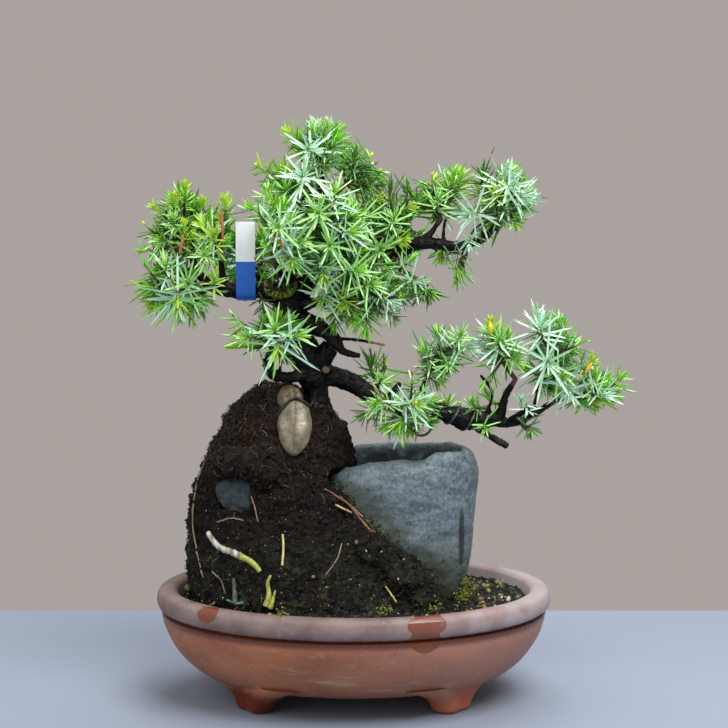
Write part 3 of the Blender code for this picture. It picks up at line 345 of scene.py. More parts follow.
# Where the photo shows sky between the masses or beside them: X, Z and radius, at the pot's middle
SKY = (
    (-15, 271.6, 8.2), (9.5, 258, 8), (18, 249, 10), (30, 243, 7), (27, 250, 6), (-97, 218, 5),
    (-101, 196, 6), (-0.6, 266, 4), (84, 213, 6), (70, 204, 6.5), (78, 206, 6), (91, 221, 5),
    (22, 155, 6.5), (108, 170, 6.5), (101, 176, 5), (114, 160, 4), (106, 124, 5), (116, 125, 5),
    (29.5, 215.4, 3), (36.5, 210.5, 3.5), (-56, 152, 6), (-48, 145.5, 5), (33, 114.5, 5),
    (40.5, 117, 4), (35.5, 197.8, 6), (40.5, 189, 4.5), (-50, 245.5, 6), (49.5, 141, 6),
    (57, 147, 4))

# Growth of the crown
NEEDLE_LENGTH = 11.5
NEEDLE_WIDTH = 1.15
NEEDLE_INSET = 0.85
STEM_RADIUS = 1.2
TWIG_RADIUS = 0.75
SHOOT_RADIUS = 0.45
STEM_NECK = 2.5
STEM_REACH = 1.2
UPTURN = 0.22  # of a shoot's tip, as a share of its length
SHORTEST_SHOOT = 4
SHOOT_TRIES = 5
LEADERS = 1.5  # main shoots, for each one of the solid
NEAR_SHARE = 0.3  # of the rule's own shoots, among the sprays that are placed by name
NEAR_GAP = 9
# Painted shade: near-side shoots among the named sprays take the dark needles, so the gaps between
# those sprays read as the crown's shaded inside.
BEHIND_PAINTED_SHADE = 0.45  # of those, the share that is dark

# Each form of spray: its needles' length, the angle at which they stand off the shoot at its
# foot and at its tip, how much of the shoot they clothe, the gap between their whorls, and
# their width as a share of the usual one
SPRAY_FORMS = {
    "star": (14.0, 104, 40, 8.5, 1.35, 1.1),
    "long": (19.5, 100, 45, 6.5, 1.5, 1.2),
    "tuft": (10.5, 80, 28, 10.0, 1.6, 0.9),
    "young": (8.0, 82, 30, 6.5, 1.3, 1.0),
    "finger": (6.5, 60, 22, 11.5, 1.15, 0.9),
    "comb": (9.5, 84, 50, 20.0, 1.5, 0.6),
    "sparse": (13.5, 42, 12, 5.0, 2.4, 0.75),
}

NEEDLE_COLOURS = {
    "back_silver": (0.31, 0.56, 0.34),
    "back_pale": (0.54, 0.78, 0.54),
    "back_bright": (0.155, 0.49, 0.026),
    "back_yellow": (0.38, 0.61, 0.042),
    "back_dark": (0.050, 0.15, 0.026),
    "band_silver": (0.57, 0.84, 0.69),
    "band_mint": (0.47, 0.81, 0.34),
    "band_yellow": (0.43, 0.64, 0.11),
    "band_dark": (0.15, 0.31, 0.12),
    "straw": (0.36, 0.26, 0.09),
}
# Each colour of spray: the green faces and the band of its lower needles, the same of its upper
# ones, and the green of the fresh needles at its tip
SPRAY_COLOURS = {
    "silver": ("back_silver", "band_silver", "back_bright", "band_mint", "back_yellow"),
    "bright": ("back_bright", "band_mint", "back_bright", "band_mint", "back_yellow"),
    "pale": ("back_pale", "band_silver", "back_pale", "band_silver", "back_silver"),
    "yellow": ("back_bright", "band_yellow", "back_yellow", "band_yellow", "back_yellow"),
    "dark": ("back_dark", "band_dark", "back_dark", "band_dark", "back_bright"),
}
COLOUR_NAMES = list(NEEDLE_COLOURS)

# The mottled finish of each kind of small thing: colour, roughness and any specular level
MOTTLED = {
    "clod_black": ((0.0032, 0.0031, 0.0028), 0.6, 0.2),
    "clod_dark": ((0.0085, 0.0078, 0.0066), 0.7, 0.2),
    "clod_brown": ((0.017, 0.0105, 0.007), 0.75, 0.2),
    "clod_grey": ((0.0200, 0.0225, 0.0180), 0.75, 0.2),
    "grain_grey": ((0.020, 0.019, 0.017), 0.6),
    "grit_yellow": ((0.20, 0.155, 0.055), 0.6),
    "grit_tan": ((0.15, 0.10, 0.055), 0.6),
    "grit_white": ((0.42, 0.40, 0.34), 0.5),
    "grit_green": ((0.085, 0.125, 0.025), 0.6),
    "moss_yellow": ((0.25, 0.25, 0.035), 0.8),
    "moss_green": ((0.13, 0.18, 0.016), 0.8),
    "moss_dark": ((0.030, 0.040, 0.006), 0.8),
    "fibre_dark": ((0.010, 0.0065, 0.0045), 0.7),
    "fibre_brown": ((0.040, 0.022, 0.012), 0.7),
    "fibre_rust": ((0.095, 0.052, 0.024), 0.7),
    "fibre_pale": ((0.26, 0.20, 0.12), 0.7),
    "sprout_green": ((0.26, 0.29, 0.05), 0.4),
    "stem_grey": ((0.060, 0.068, 0.062), 0.4),
    "leaf_teal": ((0.05, 0.20, 0.10), 0.4),
    "straw_pale": ((0.50, 0.40, 0.16), 0.5),
    "root_pink": ((0.21, 0.10, 0.075), 0.5),
    "root_tan": ((0.22, 0.17, 0.11), 0.6),
    "twig_brown": ((0.055, 0.030, 0.018), 0.6),
    "shoot_green": ((0.19, 0.26, 0.05), 0.5),
    "bud_orange": ((0.38, 0.14, 0.03), 0.5),
    "bud_brown": ((0.19, 0.085, 0.03), 0.55),
    "bud_yellow": ((0.60, 0.60, 0.03), 0.5),
    "bud_gold": ((0.72, 0.43, 0.035), 0.5),
    "shoot_brown": ((0.27, 0.115, 0.035), 0.6),
}

CAMERA_PLACE = (4.7, -769.4, 220.6)
CAMERA_LENS = 84.07
CAMERA_SENSOR = 36
CAMERA_DIP = 5.13  # degrees below level

# The table and the lamps are in metres
TABLE_MIDDLE = (0, -0.32, -0.0105)
TABLE_SIZE = (1.8, 0.96, 0.02)
TABLE_COLOUR = (0.228, 0.272, 0.355)
WALL_COLOUR = (0.40, 0.365, 0.345)
# Each lamp's place, the place that it points at, its size, power and colour
LAMPS = {
    "key": ((0.32, -0.50, 0.95), (0, 0, 0.12), 0.6, 13, (1, 0.98, 0.95)),
    "fill": ((-0.6, -0.6, 0.55), (0, 0, 0.12), 0.8, 4, (1, 0.97, 0.92)),
    "top": ((0.1, 0.25, 0.9), (0, 0, 0.15), 0.6, 6, (1, 1, 1)),
}


def unit(vector):
    return vector / np.linalg.norm(vector)


def unit_rows(vectors):
    return vectors / np.linalg.norm(vectors, axis=1)[:, None]


def round_about(across, beside, angle):
    """The way that points out from a path at an angle round it."""
    return across * math.cos(angle) + beside * math.sin(angle)


def travelled(points):
    """How far along a path each of its points is."""
    return np.concatenate([[0], np.cumsum(np.linalg.norm(np.diff(points, axis=0), axis=1))])


def across_from(heading):
    """A unit vector at right angles to the heading."""
    return unit(np.cross(heading, UP if abs(heading[2]) < 0.9 else np.array([1.0, 0.0, 0.0])))


def smooth_path(places, steps):
    """Points along the smooth (Catmull-Rom) curve through the places, whatever their columns."""
    rows = np.array(places, float)
    ends = np.vstack([2 * rows[0] - rows[1], rows, 2 * rows[-1] - rows[-2]])
    path = []
    for before, here, there, after in zip(ends, ends[1:], ends[2:], ends[3:]):
        for t in np.arange(steps) / steps:
            path.append(0.5 * (
                2 * here + (there - before) * t
                + (2 * before - 5 * here + 4 * there - after) * t ** 2
                + (3 * here - before - 3 * there + after) * t ** 3))
    path.append(rows[-1])
    return np.array(path)


def path_frames(points):
    """The heading and two vectors across the path at each point, carried along without a twist."""
    headings = unit_rows(np.gradient(points, axis=0))
    across = across_from(headings[0])
    found = []
    for heading in headings:
        across = unit(across - heading * across.dot(heading))
        found.append((heading, across, np.cross(heading, across)))
    return found


class Shapes:
    """The points, faces and material indices of many small shapes, gathered for one mesh."""

    def __init__(self):
        self.points = []
        self.faces = []
        self.indices = []
        self.size = 0

    def add(self, points, faces, indices):
        """Points, faces that number them from 0, and each face's material index."""
        self.points.append(points)
        self.faces += (faces + self.size).tolist()
        self.indices += indices
        self.size += len(points)

    def add_rings(self, rings, index=0):
        """A skin over rings of equally many points, each end closed by a point in its middle."""
        count = len(rings[0])
        around = np.arange(count)
        following = (around + 1) % count
        last_row = (len(rings) - 1) * count
        bands = []
        for low in range(0, last_row, count):
            high = low + count
            band = [low + around, low + following, high + following, high + around]
            bands.append(np.stack(band, axis=1))
        first = np.full(count, len(rings) * count)
        bands.append(np.stack([following, around, first], axis=1))
        bands.append(np.stack([last_row + around, last_row + following, first + 1], axis=1))
        for faces in bands:
            self.faces += (faces + self.size).tolist()
            self.indices += [index] * count
        middles = np.array([np.mean(rings[0], axis=0), np.mean(rings[-1], axis=0)])
        self.points.append(np.concatenate([*rings, middles]))
        self.size += len(rings) * count + 2

    def add_tube(self, points, radii, sides, index=0):
        angles = 2 * np.pi * np.arange(sides) / sides
        cosines, sines = np.cos(angles)[:, None], np.sin(angles)[:, None]
        rings = []
        for point, radius, (_, across, beside) in zip(points, radii, path_frames(points)):
            rings.append(point + radius * (across * cosines + beside * sines))
        self.add_rings(rings, index)

    def mesh(self, name):
        made = bpy.data.meshes.new(name)
        made.from_pydata((np.concatenate(self.points) * MM).tolist(), [], self.faces)
        made.polygons.foreach_set("material_index", self.indices)
        made.update()
        return made


def flip_if_inside_out(mesh):
    bm = bmesh.new()
    bm.from_mesh(mesh)
    bmesh.ops.recalc_face_normals(bm, faces=bm.faces)
    if bm.calc_volume(signed=True) < 0:
        bmesh.ops.reverse_faces(bm, faces=bm.faces)
    bm.to_mesh(mesh)
    bm.free()
    return mesh


def ring_mesh(name, *forms):
    """A closed mesh of one or more forms, each given as its rings."""
    shapes = Shapes()
    for rings in forms:
        shapes.add_rings(rings)
    return flip_if_inside_out(shapes.mesh(name))


def tube_mesh(name, points, radii, sides):
    shapes = Shapes()
    shapes.add_tube(points, radii, sides)
    return flip_if_inside_out(shapes.mesh(name))


def add_object(name, data):
    made = bpy.data.objects.new(name, data)
    bpy.context.scene.collection.objects.link(made)
    return made


def new_piece(name, mesh, finishes, smooth_below=180):
    """An object in the row's frame, riding on the one body, with its materials."""
    for finish in finishes:
        mesh.materials.append(finish)
    mesh.shade_smooth()
    mesh.set_sharp_from_angle(angle=math.radians(smooth_below))
    piece = add_object(name, mesh)
    piece.location = POT_MIDDLE
    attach(piece, "root")
    return piece


def evaluated(mesh, kind, **settings):
    """The mesh that one modifier makes of another mesh."""
    item = add_object("temporary", mesh)
    modifier = item.modifiers.new("change", kind)
    for key, value in settings.items():
        setattr(modifier, key, value)
    bpy.context.view_layer.update()
    graph = bpy.context.evaluated_depsgraph_get()
    made = bpy.data.meshes.new_from_object(item.evaluated_get(graph))
    bpy.data.objects.remove(item)
    return made


def combined(mesh, other, operation="UNION"):
    """The union or difference of two closed meshes."""
    cutter = add_object("cutter", other)
    made = evaluated(mesh, "BOOLEAN", operation=operation, object=cutter, solver="EXACT")
    bpy.data.objects.remove(cutter)
    return made


def skinned(mesh, voxel, smoothing=0):
    """One even skin round everything in the mesh, with its steps smoothed away."""
    made = evaluated(mesh, "REMESH", mode="VOXEL", voxel_size=voxel * MM)
    if smoothing:
        made = evaluated(made, "SMOOTH", factor=0.5, iterations=smoothing)
    return made


def read_vectors(items, key):
    values = np.empty(len(items) * 3)
    items.foreach_get(key, values)
    return values.reshape(-1, 3)


def swell(mesh, amounts):
    """Move each point out along its normal, by an amount for each point's place."""
    places = read_vectors(mesh.vertices, "co") / MM
    normals = read_vectors(mesh.vertices, "normal")
    places += normals * amounts(places)[:, None]
    mesh.vertices.foreach_set("co", (places * MM).ravel())
    mesh.update()
    return mesh


def rough(places, size, octaves=3, shift=0.0):
    """Fractal noise at each place, with its largest waves as long as size."""
    return np.array([
        noise.fractal(Vector(place / size + shift), 0.8, 2.0, octaves) for place in places])


# Materials

def new_material(name, colour=(0.5, 0.5, 0.5), roughness=0.5, **settings):
    """A material whose shader takes a plain colour, until a pattern is linked to it."""
    made = bpy.data.materials.new(name)
    made.use_nodes = True
    shader = made.node_tree.nodes["Principled BSDF"]
    shader.inputs["Base Color"].default_value = (*colour, 1)
    shader.inputs["Roughness"].default_value = roughness
    for key, value in settings.items():
        shader.inputs[key.replace("_", " ")].default_value = value
    return made


def mottled_material(name, colour, roughness, specular=0.5):
    """A material whose colour varies a little round one tone, grain by grain."""
    made = new_material(name, colour, roughness, Specular_IOR_Level=specular)
    p = Pattern(made)
    low, high = (tuple(value * share for value in colour) for share in (1 - 0.4, 1 + 0.4))
    p.colour(p.ramp(p.noise(0.7, 3), (0.35, low), (0.65, high)))
    return made


def mottled(*names):
    """The mottled finishes by these names, each made when it is first asked for."""
    return [bpy.data.materials.get(name) or mottled_material(name, *MOTTLED[name]) for name in names]


def grey(value):
    return (value, value, value)


class Pattern:
    """Short ways to add the nodes of a procedural pattern to a material."""

    def __init__(self, material):
        self.tree = material.node_tree
        self.shader = self.tree.nodes["Principled BSDF"]
        self.place = self.tree.nodes.new("ShaderNodeTexCoord").outputs["Object"]

    def link(self, source, target):
        """Give a socket its value: another socket's, or a number, vector or colour."""
        if hasattr(source, "is_output"):
            self.tree.links.new(source, target)
        else:
            target.default_value = source

    def node(self, kind, inputs, **settings):
        """A node with its settings, and its inputs by their names or numbers."""
        made = self.tree.nodes.new("ShaderNode" + kind)
        for key, value in settings.items():
            setattr(made, key, value)
        for key, source in inputs.items():
            self.link(source, made.inputs[key])
        return made

    def vectors(self, operation, first, second):
        return self.node("VectorMath", {0: first, 1: second}, operation=operation).outputs[0]

    def noise(self, size, detail, stretch=(1, 1, 1), distortion=0.0):
        """Noise with waves of a size in millimetres, squeezed along each axis by the stretch."""
        place = self.vectors("MULTIPLY", self.place, stretch)
        scale = 1 / (size * MM)
        inputs = {"Vector": place, "Scale": scale, "Detail": detail, "Distortion": distortion}
        return self.node("TexNoise", inputs).outputs["Fac"]

    def cells(self, size):
        """How far it is to the middle of the nearest cell of a size in millimetres."""
        inputs = {"Vector": self.place, "Scale": 1 / (size * MM)}
        return self.node("TexVoronoi", inputs).outputs["Distance"]

    def ramp(self, value, *stops):
        """The colours of the stops, each a position and a colour."""
        made = self.node("ValToRGB", {"Fac": value})
        elements = made.color_ramp.elements
        while len(elements) < len(stops):
            elements.new(0.5)
        for element, (position, colour) in zip(elements, stops):
            element.position = position
            element.color = (*colour, 1)
        return made.outputs["Color"]

    def between(self, value, low, high):
        """0 where the value is at low and 1 at high, with a smooth way between them."""
        inputs = {"Value": value, "From Min": low, "From Max": high}
        return self.node("MapRange", inputs, interpolation_type="SMOOTHSTEP").outputs["Result"]

    def mix(self, share, first, second):
        """The first colour, with that share of the second in it."""
        made = self.node("Mix", {"Factor": share}, data_type="RGBA")
        *targets, result = [s for s in (*made.inputs, *made.outputs) if s.type == "RGBA"]
        for source, target in zip((first, second), targets):
            self.link(source if hasattr(source, "is_output") else (*source, 1), target)
        return result

    def maths(self, operation, first, second):
        return self.node("Math", {0: first, 1: second}, operation=operation).outputs[0]

    def times(self, first, second):
        return self.maths("MULTIPLY", first, second)

    def plus(self, first, second):
        return self.maths("ADD", first, second)

    def larger(self, first, second):
        return self.maths("MAXIMUM", first, second)

    def tint(self, colour, where, share, tone):
        """The colour, with so large a share of the tone laid over it where the mask is 1."""
        return self.mix(self.times(where, share), colour, tone)

    def axis(self, name):
        """The place's X, Y or Z in millimetres."""
        return self.maths("DIVIDE", self.node("SeparateXYZ", {0: self.place}).outputs[name], MM)

    def spot(self, centre, radius, stretch=(1, 1, 1), soft=0.15):
        """1 inside a rounded spot and 0 outside it, with a soft edge."""
        place = self.vectors("SUBTRACT", self.place, [value * MM for value in centre])
        place = self.vectors("MULTIPLY", place, [value / (radius * MM) for value in stretch])
        length = self.node("VectorMath", {0: place}, operation="LENGTH").outputs["Value"]
        return self.between(length, 1 + soft, 1 - soft)

    def colour(self, source):
        self.link(source, self.shader.inputs["Base Color"])

    def roughness(self, source):
        self.link(source, self.shader.inputs["Roughness"])

    def gloss(self, value, smooth, dull):
        """Roughness that runs from smooth to dull over the middle of a pattern."""
        self.roughness(self.ramp(value, (0.3, grey(smooth)), (0.7, grey(dull))))

    def bump(self, height, depth, strength):
        """Relief from a height between 0 and 1, as deep as depth in millimetres."""
        made = self.node("Bump", {"Strength": strength, "Distance": depth * MM, "Height": height})
        self.link(made.outputs["Normal"], self.shader.inputs["Normal"])


def clay_material():
    """Unglazed reddish clay: a grey bloom on the lip, painted shade in the groove under it and wet
    places, with painted light towards the right and painted shade towards the bottom.
    """
    made = new_material("clay", Specular_IOR_Level=0.35)
    p = Pattern(made)
    height = p.axis("Z")
    body = p.noise(30, 7, (1, 1, 2.2))
    body = p.ramp(body, (0.3, (0.258, 0.090, 0.045)), (0.7, (0.395, 0.155, 0.080)))
    # Painted light: the body lightens towards the right, where the light falls.
    body = p.tint(body, p.between(p.axis("X"), -35, 70), 0.5, (0.44, 0.24, 0.20))
    body = p.tint(body, p.between(p.noise(4, 6), 0.5, 0.8), 0.6, (0.38, 0.24, 0.18))
    body = p.mix(p.between(p.noise(0.9, 3), 0.62, 0.72), body, (0.16, 0.065, 0.045))
    # Painted shade: the body darkens towards the bottom.
    body = p.tint(body, p.between(height, 24, 8), 0.3, (0.16, 0.055, 0.036))
    streaks = p.between(p.noise(3.2, 4, (0.16, 0.5, 1.4)), 0.52, 0.66)
    for centre, radius in (((-2, -61, 22), 15), ((26, -56, 16), 17), ((-30, -58, 26), 10)):
        scuff = p.times(p.spot(centre, radius, (1, 0.5, 4.5), 0.6), streaks)
        body = p.tint(body, scuff, 0.55, (0.50, 0.38, 0.26))
    lip = p.ramp(p.noise(11, 7), (0.32, (0.125, 0.082, 0.078)), (0.68, (0.225, 0.172, 0.168)))
    # Painted light: the lip's grey bloom pales towards the right, where the light falls.
    lip = p.tint(lip, p.between(p.axis("X"), 5, 80), 0.72, (0.42, 0.365, 0.39))
    lip = p.tint(lip, p.between(p.noise(2.2, 5), 0.58, 0.80), 0.5, (0.34, 0.29, 0.28))
    lip = p.tint(lip, p.between(p.noise(20, 5), 0.52, 0.70), 0.42, (0.20, 0.085, 0.060))
    colour = p.mix(p.between(height, 40.2, 42.2), body, lip)
    # Painted shade in the groove under the lip; the same mask also makes the groove glossier.
    groove_shade = p.times(p.between(height, 35.4, 38.4), p.between(height, 41.8, 40.0))
    colour = p.tint(colour, groove_shade, 0.85, (0.070, 0.020, 0.015))
    # Low on the pot and on its feet the clay takes a deep red-orange of its own, with painted shade
    # to the left and painted light to the right.
    foot = p.between(p.plus(height, p.times(p.noise(9, 3), 9)), 16.5, 11)
    foot_tone_and_painted_light = p.mix(p.between(p.axis("X"), -40, 40), (0.125, 0.017, 0.004), (0.43, 0.125, 0.055))
    colour = p.mix(foot, colour, foot_tone_and_painted_light)
    ripple = p.times(p.noise(7, 2), 1.5)
    drip = p.spot((30.6, -66, 40.6), 6.2, (0.9, 0.4, 1.0))
    run = p.spot((31.5, -66, 47), 7.6, (0.88, 0.4, 1.7))
    splash = p.spot((-64, -51.5, 50), 6.5, (1.0, 1.0, 1.1))
    wet = p.larger(p.larger(drip, run), splash)
    wet = p.between(p.times(wet, ripple), 0.36, 0.62)
    colour = p.tint(colour, wet, 0.8, (0.165, 0.040, 0.014))
    p.colour(colour)
    gloss = p.larger(wet, p.times(p.larger(foot, groove_shade), 0.6))
    grain = p.ramp(p.noise(3, 5), (0.2, grey(0.42)), (0.8, grey(0.66)))
    p.roughness(p.mix(gloss, grain, grey(0.08)))
    relief = p.plus(p.times(p.noise(0.8, 6), 0.3), wet)
    p.bump(relief, 0.7, 0.4)
    return made


def stone_material(name, painted_shade_factor=1.0, dryness=0.0):
    """Blue-grey water-worn stone: streaked, pitted, greenish at its foot and darker green where peat
    meets it, with painted shade on its left side, in its basin and in a crack.
    """
    made = new_material(name, Specular_IOR_Level=0.3)
    p = Pattern(made)
    # The tones are scaled by the first number: below 1 it darkens them as painted shade.
    deep, low_tone, middle, high_tone = [tuple(painted_shade_factor * value for value in tone) for tone in (
        (0.018, 0.026, 0.030), (0.052, 0.077, 0.092), (0.108, 0.151, 0.178), (0.240, 0.296, 0.332))]
    broad = p.noise(28, 6, (0.9, 1, 1.2), 0.7)
    colour = p.ramp(broad, (0.30, low_tone), (0.48, middle), (0.74, high_tone))
    streaks = p.noise(6.5, 8, (0.5, 1, 1.5), 1.3)
    colour = p.mix(0.48, colour, p.ramp(streaks, (0.34, deep), (0.5, middle), (0.66, high_tone)))
    grain = p.noise(1.3, 7)
    colour = p.mix(0.34, colour, p.ramp(grain, (0.34, deep), (0.5, middle), (0.66, high_tone)))
    x, z = p.axis("X"), p.axis("Z")
    # Painted shade: the stone darkens towards its left side.
    colour = p.tint(colour, p.between(x, 14, -10), 0.35, low_tone)
    pits = p.between(p.cells(7), 0.17, 0.06)
    colour = p.tint(colour, pits, 0.6, deep)
    flecks = p.between(p.noise(0.7, 3), 0.70, 0.76)
    colour = p.tint(colour, flecks, 0.5, (0.38, 0.42, 0.44))
    low = p.between(p.plus(z, p.times(p.noise(14, 5), 50)), 108, 78)
    colour = p.tint(colour, low, 0.65, (0.088, 0.118, 0.084))
    # Darker green on the stone's face along the slant where the mound meets it, below the peat's
    # tongue.
    slant = p.plus(z, p.times(x, 1.04))
    slant = p.plus(slant, p.times(p.noise(9, 6), 26))
    dark_green_below_peat = p.times(p.between(slant, 126, 106), p.between(x, -20, -12))
    dark_green_below_peat = p.times(dark_green_below_peat, p.between(z, 105, 99))
    colour = p.tint(colour, dark_green_below_peat, 0.8, (0.026, 0.034, 0.020))
    # Painted shade: near black inside the basin, in uneven patches.
    basin_shade = p.spot((24, -2, 102), 24, (0.75, 1.3, 1.7), 0.2)
    basin_shade = p.times(basin_shade, p.between(p.noise(5, 6), 0.70, 0.50))
    colour = p.tint(colour, basin_shade, 0.95, (0.006, 0.010, 0.016))
    # Painted shade of a crack: a narrow dark upright line on the stone's face.
    crack_shade = p.spot((48.5, -12, 75), 13, (9, 0.7, 1), 0.35)
    colour = p.tint(colour, crack_shade, 0.85, (0.012, 0.013, 0.016))
    p.colour(colour)
    p.gloss(p.noise(9, 5), 0.34 + dryness, 0.60 + dryness)
    p.bump(p.noise(2.2, 9), 0.8, 0.5)
    return made


def peat_material(name, deep, brown, green):
    """Moist peat, browner where it is dry and high, with lighter grey damp patches low down that are
    partly painted wet sheen, and a little moss low down.
    """
    made = new_material(name, Specular_IOR_Level=0.12)
    p = Pattern(made)
    pale = tuple(2.4 * value for value in brown)
    colour = p.ramp(p.noise(5, 8), (0.35, deep), (0.62, brown), (0.80, pale))
    high = p.between(p.plus(p.axis("Z"), p.times(p.noise(16, 4), 40)), 106, 150)
    colour = p.tint(colour, high, 0.5, (0.017, 0.0092, 0.0058))
    # Damp patches low down, lighter grey: partly painted sheen of the wet peat.
    damp_and_sheen = p.times(p.between(p.noise(11, 6), 0.36, 0.60), p.between(p.axis("Z"), 92, 62))
    colour = p.tint(colour, damp_and_sheen, 0.55, (0.0155, 0.0175, 0.0150))
    moss = p.times(p.between(p.noise(5, 7), 0.52, 0.66), p.between(p.axis("Z"), 90, 58))
    colour = p.tint(colour, moss, 0.75, green)
    p.colour(colour)
    p.gloss(p.noise(3, 4), 0.45, 0.95)
    p.bump(p.noise(0.9, 8), 0.6, 0.8)
    return made


def bark_material(name, deep, dusty):
    """Dark bark, a little glossy, with dustier ridges."""
    made = new_material(name, Specular_IOR_Level=0.2)
    p = Pattern(made)
    pale = tuple(4 * value for value in dusty)
    colour = p.ramp(p.noise(2.4, 8, (1, 1, 0.45)), (0.38, deep), (0.60, dusty), (0.84, pale))
    for place, radius, tone in DRY_WOOD:
        colour = p.mix(p.spot(place, radius), colour, tone)
    p.colour(colour)
    p.gloss(p.noise(2, 5), 0.28, 0.62)
    p.bump(p.noise(0.7, 7, (1, 1, 0.4)), 0.35, 0.7)
    return made


def pebble_material():
    """Tan pebble, speckled and stained, with a brown seam and a pale chip on its front."""
    made = new_material("pebble")
    p = Pattern(made)
    colour = p.ramp(
        p.noise(5, 8), (0.30, (0.058, 0.045, 0.027)), (0.50, (0.130, 0.112, 0.074)),
        (0.72, (0.225, 0.200, 0.145)))
    colour = p.tint(colour, p.between(p.noise(1.0, 5), 0.55, 0.70), 0.7, (0.085, 0.060, 0.032))
    colour = p.tint(colour, p.between(p.axis("Z"), 136.5, 139), 0.75, (0.085, 0.056, 0.026))
    seam = p.spot((-26, -30, 125), 13, (22, 0.5, 1), 0.6)
    seam = p.times(seam, p.between(p.noise(2, 4), 0.4, 0.5))
    colour = p.tint(colour, seam, 0.5, (0.060, 0.040, 0.022))
    chip = p.spot((-22.5, -29, 127.5), 3.2, (1.6, 0.5, 1), 0.5)
    colour = p.tint(colour, chip, 0.6, (0.40, 0.36, 0.27))
    p.colour(colour)
    p.gloss(p.noise(2, 4), 0.28, 0.50)
    p.bump(p.noise(1.1, 6), 0.3, 0.5)
    return made


def wire_material(name, dull, bright):
    """Tarnished metal between a dull tone and a bright one."""
    made = new_material(name, Metallic=0.75)
    p = Pattern(made)
    p.colour(p.ramp(p.noise(1.5, 5), (0.35, dull), (0.7, bright)))
    p.gloss(p.noise(0.8, 3), 0.32, 0.55)
    return made


def root_material():
    """The thick loose root, ringed pale and grey."""
    made = new_material("root_pale", (0.5, 0.45, 0.34), 0.45)
    p = Pattern(made)
    rings = p.noise(2.0, 3, (1, 0.1, 0.3))
    p.colour(p.ramp(
        rings, (0.40, (0.17, 0.16, 0.12)), (0.50, (0.36, 0.36, 0.31)), (0.62, (0.50, 0.51, 0.46))))
    return made


def label_material(name, colour, faint):
    """Thin printed plastic, faintly scuffed."""
    made = new_material(name)
    p = Pattern(made)
    p.colour(p.mix(p.between(p.noise(4, 5), 0.5, 0.8), colour, faint))
    p.gloss(p.noise(3, 3), 0.26, 0.42)
    p.bump(p.noise(2.5, 2), 0.1, 0.3)
    return made


# The pot, the soil and the stones

def oval(centre, half_x, half_y, count, power=2.0, ripple=0.0):
    angle = 2 * np.pi * np.arange(count) / count
    wave = 1 + ripple * (np.sin(3 * angle + 0.6) + 0.6 * np.sin(5 * angle + 2.1))
    reach = (np.abs(np.cos(angle)) ** power + np.abs(np.sin(angle)) ** power) ** (-1 / power) * wave
    x = centre[0] + half_x * reach * np.cos(angle)
    y = centre[1] + half_y * reach * np.sin(angle)
    return np.stack([x, y, np.full(count, float(centre[2]))], axis=1)


def pot_ring(inset, height):
    return oval((0, 0, height), POT_LENGTH / 2 - inset, POT_DEPTH / 2 - inset, POT_SEGMENTS)


def bowl_profile():
    """Inset and height up the outside of the bowl, from its bottom edge to under the lip."""
    steps = 14
    top = POT_HEIGHT - LIP_HEIGHT - 2
    for k in range(steps, -1, -1):
        angle = math.pi / 2 * k / steps
        inset = 2 + (BOWL_INSET - 2) * (1 - math.cos(angle)) ** 0.9
        yield inset, top - (top - FLOOR_BELOW) * math.sin(angle) ** 1.15


def make_pot():
    """The bowl, lip and hollow as one loft with its four feet joined on below."""
    under_lip = POT_HEIGHT - LIP_HEIGHT
    outside = list(bowl_profile())
    lip = smooth_path([
        (3.8, under_lip - 1.2), (2.2, under_lip - 0.4), (0.7, under_lip + 0.8), (0, under_lip + 3.2),
        (0.2, POT_HEIGHT - 3.4), (1.0, POT_HEIGHT - 1.4), (2.8, POT_HEIGHT - 0.2), (5, POT_HEIGHT),
        (LIP_WIDTH - 1.8, POT_HEIGHT - 0.4), (LIP_WIDTH, POT_HEIGHT - 2)], 3)
    rise = FLOOR_ABOVE - FLOOR_BELOW
    hollow = [
        (inset + LIP_WIDTH - 2, height + rise) for inset, height in outside[::-1]
        if height + rise < under_lip]
    bowl = ring_mesh("bowl", [pot_ring(*place) for place in [*outside, *lip, *hollow]])
    bowl = combined(bowl, ring_mesh("feet", *(foot_rings(index) for index in range(4))))
    swell(bowl, lambda places: 0.18 * rough(places * (1, 1, 2.5), 22) + 0.05 * rough(places, 3))
    piece = new_piece("clay_pot", bowl, [clay_material()], 50)
    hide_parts("pot")


def foot_rings(index):
    """A foot that flares up into the bowl, with a shallow scallop down its outer face."""
    angle = FOOT_ANGLE * (1 if index % 2 else -1) + (math.pi if index >= 2 else 0)
    x = (POT_LENGTH / 2 - FOOT_INSET) * math.cos(angle)
    y = (POT_DEPTH / 2 - FOOT_INSET + 10) * math.sin(angle)
    turn = math.atan2(y * 1.3, x) + math.pi / 2
    cosine, sine = math.cos(turn), math.sin(turn)
    rings = []
    for height, half_long, half_wide in smooth_path(FOOT_SECTIONS, 4):
        ring = oval((0, 0, height), half_long, half_wide, 48, power=2.6)
        ring[:, 1] *= 1 - 0.10 * np.cos(ring[:, 0] / half_long * 1.5 * np.pi)
        turned = ring @ np.array([[cosine, sine, 0], [-sine, cosine, 0], [0, 0, 1]])
        rings.append(turned + (x, y, 0))
    return rings


